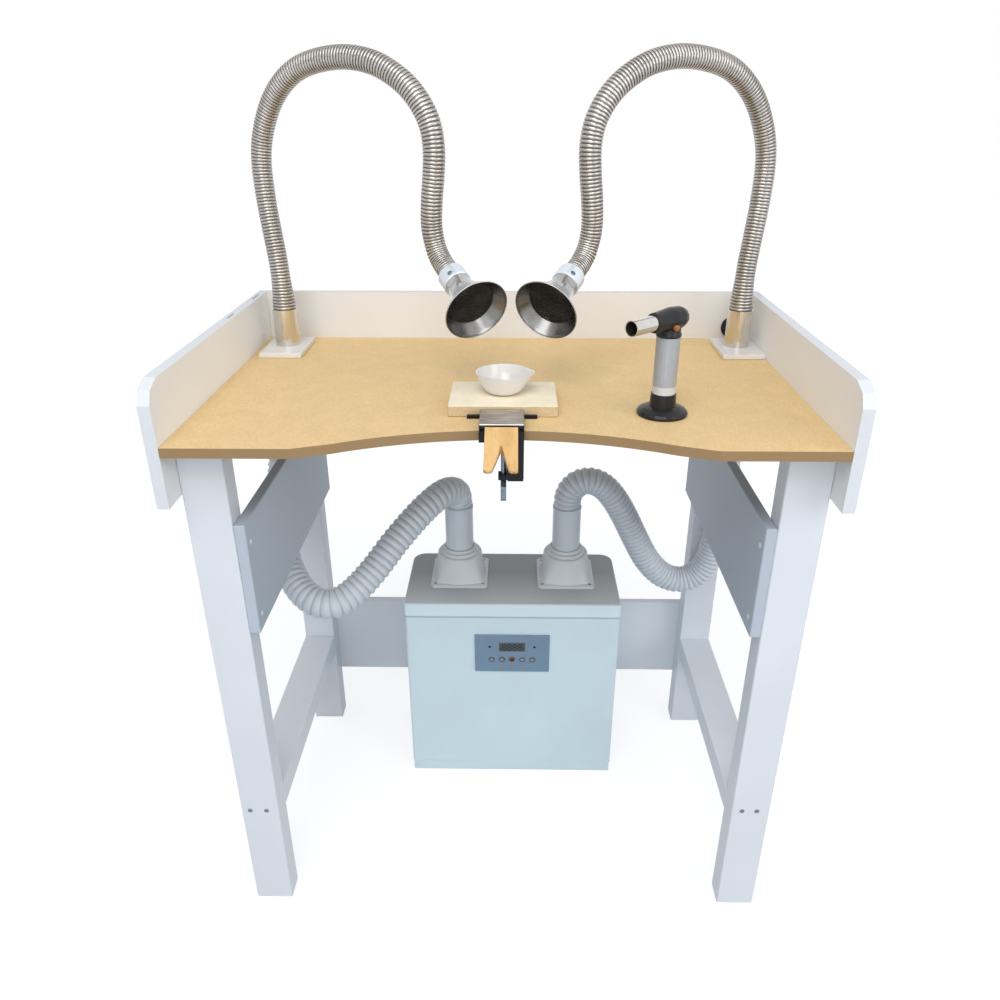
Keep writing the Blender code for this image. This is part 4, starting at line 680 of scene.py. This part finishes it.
def hood_place(side):
    aim = Vector((-SIDES[side] * HOOD_AXIS.x, HOOD_AXIS.y, HOOD_AXIS.z))
    return along(neck_line(side)[-1], aim)


def polish_outside(hood, place, finish):
    """Gives the faces of a turned piece that look away from its axis a finish of their own, leaving the
    inner faces with the darker finish, painted shade.
    """
    hood.data.materials.append(finish)
    back = place.inverted()
    turn = back.to_3x3()
    for face in hood.data.polygons:
        centre, normal = back @ face.center, turn @ face.normal
        if normal.x * centre.x + normal.y * centre.y > 0:
            face.material_index = 1


def hood_outline():
    """The funnel's closed profile: out along its outside, round the rolled lip and back inside."""
    line = [Vector((radius, 0.0, height)) for height, radius in HOOD_PROFILE]
    outer = [(point.x, point.z) for point in smooth_line(line, HOOD_ROWS)]
    rim_radius, rim_height = outer[-1]
    lip = []
    for step in range(LIP_STEPS + 1):
        angle = LIP_FROM + LIP_SWEEP * step / LIP_STEPS
        out, rise = HOOD_LIP * math.cos(angle), HOOD_LIP * (1 + math.sin(angle))
        lip.append((rim_radius + out - LIP_INSET, rim_height + rise))
    inner = [(radius - HOOD_WALL, height) for radius, height in outer[::-1]]
    return outer + lip + inner


def screen_wires(screen):
    """Crossed wires in a round frame, as one shape."""
    wires = []
    count = int(SCREEN_RADIUS / SCREEN_PITCH)
    for step in range(-count, count + 1):
        shift = step * SCREEN_PITCH
        half = math.sqrt(max(SCREEN_RADIUS**2 - shift**2, 0.0))
        if half < SCREEN_PITCH:
            continue
        for low, high in (
            (Vector((shift, -half, 0)), Vector((shift, half, 0))),
            (Vector((-half, shift, SCREEN_WIRE)), Vector((half, shift, SCREEN_WIRE))),
        ):
            wires.append(swept([screen @ low, screen @ high], [SCREEN_WIRE, SCREEN_WIRE], WIRE_SIDES))
    across, rise = SCREEN_RING_SIZE
    angles = [math.tau * step / SCREEN_RING_SIDES for step in range(SCREEN_RING_SIDES)]
    ring = [(SCREEN_RADIUS + across * math.cos(angle), rise * math.sin(angle)) for angle in angles]
    wires.append(turned(ring, screen, COARSE))
    return joined(wires)


def build_hood(side, looks):
    """The spun funnel with its rolled lip, the wire screen in it and the collar's screw."""
    body = f"{side}_hood"
    place = hood_place(side)
    mouth = place @ Matrix.Translation((0, 0, COLLAR_LENGTH + GAP))
    funnel = turned(hood_outline(), mouth, VERY_FINE)
    hood = piece(f"{side}_spun_hood", funnel, looks["hood_inside_painted_shade"], body, [f"{side}_hood"])
    polish_outside(hood, mouth, looks["hood_polish"])
    wires = screen_wires(mouth @ Matrix.Translation((0, 0, SCREEN_AT)))
    piece(f"{side}_wire_screen", wires, looks["dark_mesh"], body, [f"{side}_hood_screen"])
    out = COLLAR_SCREW_AIM.normalized()
    out.x *= SIDES[side]
    spot = place @ Vector((0, 0, COLLAR_LENGTH * COLLAR_SCREW_AT))
    spot += out * (COLLAR_RADIUS - COLLAR_SCREW_SINK)
    screw(f"{side}_collar_screw", spot, out, COLLAR_SCREW, body, looks["screw_steel"])


def screw(name, spot, direction, radius, body, finish):
    """A domed screw head with a sunk drive in its middle."""
    dome = SCREW_DOME * radius / SCREW_RADIUS
    profile = [
        (0.0, 0.0), (radius, 0.0), (radius, dome * 0.35), (radius * 0.8, dome * 0.8),
        (radius * 0.42, dome), (radius * 0.30, dome * 0.3), (0.0, dome * 0.25),
    ]
    piece(name, turned(profile, along(spot, direction), SMALL), finish, body)


def build_duct(side, looks):
    """The ribbed plastic duct from its cuff in the port to the adapter under the bench top."""
    x = CASE_X + SIDES[side] * PORT_OFFSET
    route = [at(*point) for point in DUCT_ROUTES[side]]
    fine = smooth_line(route, DUCT_RINGS[side] * RING_SAMPLES)
    line, radii = ringed(fine, DUCT_RINGS[side], DUCT_STEPS, DUCT_VALLEY, DUCT_CREST)
    seam = CUFF_TOP - CUFF_BEAD_HEIGHT
    count = 2 * CUFF_RIBS
    heights = [CUFF_BOTTOM + (seam - CUFF_BOTTOM) * step / count for step in range(count + 1)]
    heights += [seam + CUFF_EASE, CUFF_TOP - CUFF_EASE, CUFF_TOP]
    cuff = [at(x, PORT_DEPTH, z) for z in heights]
    cuff_radii = [CUFF_RADIUS - CUFF_RIB * (step % 2) for step in range(count + 1)]
    cuff_radii += [CUFF_BEAD, CUFF_BEAD, DUCT_VALLEY]
    path = [*cuff, *line[1:]]
    shape = swept(path, [*cuff_radii, *radii[1:]], COARSE)
    duct = piece(f"{side}_ribbed_duct", shape, looks["duct_pvc"], "root", [f"{side}_duct"])
    darken_grooves(duct, len(DUCT_STEPS), DUCT_GROOVE, looks["duct_groove_painted_shade"], len(cuff) - 1)


def looped(loops, closed):
    """A skin over rings of points, closed on itself or capped at both ends."""
    bm = bmesh.new()
    rings = [[bm.verts.new(point) for point in loop] for loop in loops]
    pairs = zip(rings, rings[1:] + rings[:1]) if closed else zip(rings, rings[1:])
    for one, two in pairs:
        for index in range(len(one)):
            after = (index + 1) % len(one)
            bm.faces.new((one[index], one[after], two[after], two[index]))
    if not closed:
        bm.faces.new(rings[0][::-1])
        bm.faces.new(rings[-1])
    return bm


def port_ring(half, height, share, count=FINE):
    """A ring of points that goes from a square, at share 0, to a circle, at share 1."""
    points = []
    for step in range(count):
        angle = math.tau * (step + 0.5) / count
        circle = Vector((math.cos(angle), math.sin(angle), 0.0))
        square = circle / max(abs(circle.x), abs(circle.y))
        spot = square.lerp(circle, share) * half
        points.append(Vector((spot.x, spot.y, height)))
    return points


def build_ports(looks):
    """The square-to-round ports and the screws in their flanges."""
    for side, sign in SIDES.items():
        spot = at(CASE_X + sign * PORT_OFFSET, PORT_DEPTH, CASE_TOP + GAP)
        rings = [[spot + point for point in port_ring(*row)] for row in PORT_RINGS]
        port = looped(rings, True)
        piece(f"{side}_moulded_port", port, looks["port_plastic"], "root", [f"{side}_port"])
        for index, (across, back) in enumerate(FLANGE_CORNERS):
            place = spot + Vector((across * PORT_SCREW, back * PORT_SCREW, PORT_SCREW_RISE))
            name = f"{side}_port_screw_{index}"
            screw(name, place, (0, 0, 1), PORT_SCREW_RADIUS, "root", looks["screw_steel"])


def case_outline(out):
    """The extractor's plan, with small front corners and large rear ones, moved out a little."""
    half = CASE_WIDTH / 2 + out
    front, rear = CASE_FRONT_Y - out, CASE_FRONT_Y + CASE_DEPTH + out
    large, small = CASE_REAR_RADIUS + out, CASE_FRONT_RADIUS + out
    corners = (
        (CASE_X + half - large, rear - large, large), (CASE_X - half + large, rear - large, large),
        (CASE_X - half + small, front + small, small), (CASE_X + half - small, front + small, small),
    )
    points = []
    for quarter, (x, y, radius) in enumerate(corners):
        for step in range(CORNER_STEPS + 1):
            angle = math.pi / 2 * (quarter + step / CORNER_STEPS)
            points.append((x + radius * math.cos(angle), y + radius * math.sin(angle)))
    return points


def level(outline, z):
    return [(x, y, z) for x, y in outline]


def build_lid(looks):
    """The extractor's folded lid with its rounded edge, a band of painted shadow under it and a line of
    painted highlight round the foot.
    """
    loops = [level(case_outline(LID_LIP), LID_SEAM)]
    for step in range(CORNER_STEPS + 1):
        angle = math.pi / 2 * step / CORNER_STEPS
        inward = LID_EDGE * (1.0 - math.cos(angle))
        loops.append(level(case_outline(LID_LIP - inward), CASE_TOP - LID_EDGE * (1.0 - math.sin(angle))))
    piece("folded_lid", looped(loops, False), looks["lid_coat_painted_light_and_shade"], "root", ["extractor_lid"])
    for name, low, high, finish in (
        ("lid_seam_painted_shadow", LID_SEAM - SEAM_HEIGHT, LID_SEAM, "seam_shade"),
        ("plinth_painted_highlight", HIGHLIGHT_LOW, HIGHLIGHT_HIGH, "painted_highlight_line"),
    ):
        outer, inner = case_outline(SEAM_PROUD), case_outline(SEAM_PROUD - BAND_WALL)
        band = [level(outer, low), level(outer, high), level(inner, high), level(inner, low)]
        piece(name, looped(band, True), looks[finish], "root")


def digit_bars(x, face):
    """The seven unlit bars of one digit, standing on the window's face."""
    width, height = DIGIT_SIZE
    half, stroke = height / 2, DIGIT_STROKE
    spots = {
        "a": (0, half, True), "g": (0, 0, True), "d": (0, -half, True),
        "f": (-width / 2, half / 2, False), "b": (width / 2, half / 2, False),
        "e": (-width / 2, -half / 2, False), "c": (width / 2, -half / 2, False),
    }
    bars = []
    for segment in SEGMENTS:
        across, rise, flat = spots[segment]
        long_side = (width if flat else half) / 2 - stroke * DIGIT_END
        size = (long_side, stroke / 2) if flat else (stroke / 2, long_side)
        centre = (x + across, WINDOW_Z + rise)
        low = (centre[0] - size[0], face - DIGIT_DEPTH, centre[1] - size[1])
        high = (centre[0] + size[0], face + DIGIT_SINK, centre[1] + size[1])
        bars.append(block(low, high))
    return bars


def build_controls(looks):
    """The display's digits, the two lamps and the ring on each button."""
    bars = []
    for index in range(DIGIT_COUNT):
        bars += digit_bars(CASE_X + (index - (DIGIT_COUNT - 1) / 2) * DIGIT_PITCH, WINDOW_FACE_Y)
    piece("display_digits", joined(bars), looks["digit"], "root")
    for side, sign in SIDES.items():
        place = along((CASE_X + sign * LED_OFFSET, PANEL_FACE_Y, WINDOW_Z), (0, -1, 0))
        dome = turned(LED_PROFILE, place, SMALL)
        piece(f"{side}_lamp", dome, looks["lamp_dark"], "root")
    for index, name in enumerate(BUTTONS):
        place = along((CASE_X + (index - 2) * BUTTON_PITCH, BUTTON_FACE_Y, BUTTON_Z), (0, -1, 0))
        finish = "button_orange" if name == "mode" else "button_ring"
        ring = turned(RING_PROFILE, place, MEDIUM)
        piece(f"{name}_ring", ring, looks[finish], f"{name}_button")


def build_dish(looks):
    """The glazed dish with its pouring lip."""
    outer, inner = [], []
    for step in range(DISH_STEPS + 1):
        share = step / DISH_STEPS
        radius = DISH_FOOT + (DISH_RADIUS - DISH_FOOT) * share**DISH_FLARE
        outer.append((radius, DISH_HEIGHT * share))
        inner.append((radius - DISH_WALL, DISH_WALL + (DISH_HEIGHT - DISH_WALL) * share))
    rim = (DISH_RADIUS - DISH_WALL / 2, DISH_HEIGHT + DISH_RIM)
    foot = [
        (DISH_FOOT - FOOT_RING[0], 0.0), (DISH_FOOT - FOOT_RING[1], FOOT_HOLLOW), (0.0, FOOT_HOLLOW),
    ]
    profile = [(0.0, DISH_WALL), *inner[1:], rim, *outer[::-1], *foot]
    dish = turned(profile, Matrix.Identity(4), VERY_FINE)
    for vert in dish.verts:
        angle = abs(math.degrees(math.atan2(vert.co.y, vert.co.x)))
        if math.hypot(vert.co.x, vert.co.y) > DISH_FOOT and angle < SPOUT_ANGLE:
            pull = math.cos(math.radians(90 * angle / SPOUT_ANGLE)) ** 2
            vert.co.x += DISH_SPOUT * pull * (vert.co.z / DISH_HEIGHT) ** 2
    bmesh.ops.translate(dish, verts=dish.verts, vec=DISH_PLACE)
    piece("glazed_dish", dish, looks["porcelain"], "dish", ["dish"])


def build_torch_head(looks):
    """The torch's moulded head: its solid with the meeting lines rounded off."""
    draft = bpy.data.objects.new("head_draft", frame["nodes"]["torch_head"].data.copy())
    bpy.context.scene.collection.objects.link(draft)
    remesh = draft.modifiers.new("remesh", "REMESH")
    remesh.mode = "VOXEL"
    remesh.voxel_size = HEAD_VOXEL
    smooth = draft.modifiers.new("smooth", "SMOOTH")
    smooth.factor = HEAD_EASE
    smooth.iterations = HEAD_SMOOTH
    graph = bpy.context.evaluated_depsgraph_get()
    head = bmesh.new()
    head.from_object(draft, graph)
    bpy.data.objects.remove(draft)
    piece("moulded_head", head, looks["black_plastic"], "torch", ["torch_head"])
    wall = BORE_RADIUS - SOOT
    soot = [
        (0.0, BORE_FLOOR), (BORE_RADIUS, BORE_FLOOR), (BORE_RADIUS, BORE_REACH), (wall, BORE_REACH),
        (wall, BORE_FLOOR + SOOT), (0.0, BORE_FLOOR + SOOT),
    ]
    place = along(at(*TORCH_FOOT) + TORCH_AXIS + TORCH_AIM * NOZZLE_BASE, TORCH_AIM)
    lining = turned(soot, place, MEDIUM)
    piece("nozzle_soot", lining, looks["burnt_steel"], "torch")


def build_pin(looks):
    """The beech pin, thinned underneath towards its tip."""
    down = Vector((0.0, -math.cos(PIN_SLOPE), -math.sin(PIN_SLOPE)))
    up = Vector((0.0, -math.sin(PIN_SLOPE), math.cos(PIN_SLOPE)))
    pin = bmesh.new()
    pin.from_mesh(frame["nodes"]["bench_pin"].data)
    reaches = [vert.co.dot(down) for vert in pin.verts]
    top, near, far = max(vert.co.dot(up) for vert in pin.verts), min(reaches), max(reaches)
    for vert in pin.verts:
        share = (vert.co.dot(down) - near) / (far - near)
        vert.co += up * (top - vert.co.dot(up)) * PIN_THINNING * share**2
    piece("shaped_pin", pin, looks["pin_wood"], "bench_pin", ["bench_pin"])


def build_screws(looks):
    """The screw heads in the front legs and in the inner faces of the side panels."""
    for index, (x, z) in enumerate(LEG_SCREWS):
        spot = (x, LEG_FRONT_Y, z)
        screw(f"leg_screw_{index}", spot, (0, -1, 0), SCREW_RADIUS, "root", looks["screw_steel"])
    for side, sign in SIDES.items():
        for index, (y, z) in enumerate(PANEL_SCREWS):
            name, spot = f"{side}_panel_screw_{index}", (sign * PANEL_INNER_X, y, z)
            screw(name, spot, (-sign, 0, 0), SCREW_RADIUS, "root", looks["zinc_sleeve"])


def white_rays(tree):
    """1 on rays that see the backdrop itself, in plain sight, in a reflection or through glass."""
    rays = tree.nodes.new("ShaderNodeLightPath")
    total = rays.outputs["Is Camera Ray"]
    for name in ("Is Glossy Ray", "Is Transmission Ray"):
        larger = tree.nodes.new("ShaderNodeMath")
        larger.operation = "MAXIMUM"
        tree.links.new(total, larger.inputs[0])
        tree.links.new(rays.outputs[name], larger.inputs[1])
        total = larger.outputs[0]
    return total


def floor_finish():
    """A pale grey floor that is seen as white, apart from the object's shadow."""
    made = Nodes("floor", FLOOR_COLOUR, 0.8)
    made.colour(made.ramp(made.noise(3.0), [(0.3, shade(FLOOR_COLOUR, 0.995)), (0.7, FLOOR_COLOUR)]))
    reach = made.tree.nodes.new("ShaderNodeVectorMath")
    reach.operation = "LENGTH"
    made.link(made.coordinates, reach.inputs[0])
    glow = made.tree.nodes.new("ShaderNodeMapRange")
    for name, value in zip(("From Min", "From Max", "To Min", "To Max"), (*FLOOR_REACH, *FLOOR_GLOW)):
        glow.inputs[name].default_value = value
    made.link(reach.outputs["Value"], glow.inputs["Value"])
    seen = made.tree.nodes.new("ShaderNodeMath")
    seen.operation = "MULTIPLY"
    made.link(glow.outputs["Result"], seen.inputs[0])
    made.link(white_rays(made.tree), seen.inputs[1])
    made.shader.inputs["Emission Color"].default_value = (1.0, 1.0, 1.0, 1.0)
    made.link(seen.outputs[0], made.shader.inputs["Emission Strength"])
    return made.material


def build_stage():
    """A pale floor, a white surround and soft lamps."""
    mesh = bpy.data.meshes.new("floor")
    bm = bmesh.new()
    bmesh.ops.create_grid(bm, x_segments=1, y_segments=1, size=FLOOR_SIZE)
    bm.to_mesh(mesh)
    bm.free()
    mesh.materials.append(floor_finish())
    floor = bpy.data.objects.new("floor", mesh)
    floor.location.z = -FLOOR_DROP
    bpy.context.scene.collection.objects.link(floor)

    world = bpy.data.worlds.new("studio")
    bpy.context.scene.world = world
    world.use_nodes = True
    tree = world.node_tree
    back = tree.nodes["Background"]
    back.inputs["Color"].default_value = (*WORLD_COLOUR, 1.0)
    place = tree.nodes.new("ShaderNodeTexCoord").outputs["Generated"]
    facing = tree.nodes.new("ShaderNodeVectorMath")
    facing.operation = "DOT_PRODUCT"
    facing.inputs[1].default_value = WORLD_FROM
    tree.links.new(place, facing.inputs[0])
    span = tree.nodes.new("ShaderNodeMapRange")
    for name, value in zip(("From Min", "From Max", "To Min", "To Max"), (-1.0, 1.0, *WORLD_LIGHT)):
        span.inputs[name].default_value = value
    tree.links.new(facing.outputs["Value"], span.inputs["Value"])
    tree.links.new(span.outputs["Result"], back.inputs["Strength"])
    seen = tree.nodes.new("ShaderNodeBackground")
    seen.inputs["Color"].default_value = (1.0, 1.0, 1.0, 1.0)
    mix = tree.nodes.new("ShaderNodeMixShader")
    tree.links.new(white_rays(tree), mix.inputs["Fac"])
    tree.links.new(back.outputs[0], mix.inputs[1])
    tree.links.new(seen.outputs[0], mix.inputs[2])
    tree.links.new(mix.outputs[0], tree.nodes["World Output"].inputs["Surface"])

    for name, place, size, power in LAMPS:
        light = bpy.data.lights.new(name, "AREA")
        light.size = size
        light.energy = power
        lamp = bpy.data.objects.new(name, light)
        lamp.location = place
        aim = Vector(LAMP_AIM) - Vector(place)
        lamp.rotation_euler = aim.to_track_quat("-Z", "Y").to_euler()
        bpy.context.scene.collection.objects.link(lamp)


def build_camera():
    data = bpy.data.cameras.new("camera")
    data.lens = CAMERA_LENS
    data.sensor_width = CAMERA_SENSOR
    camera = bpy.data.objects.new("camera", data)
    camera.location = CAMERA_PLACE
    camera.rotation_euler = CAMERA_TURN
    bpy.context.scene.collection.objects.link(camera)
    bpy.context.scene.camera = camera


def main():
    bpy.context.scene.view_settings.view_transform = "Standard"
    build_camera()
    looks = finishes()
    dress_solids(looks)
    for side in SIDES:
        build_duct(side, looks)
        build_gooseneck(side, looks)
        build_hood(side, looks)
    build_ports(looks)
    build_controls(looks)
    build_lid(looks)
    build_dish(looks)
    build_torch_head(looks)
    build_pin(looks)
    build_screws(looks)
    build_stage()


main()
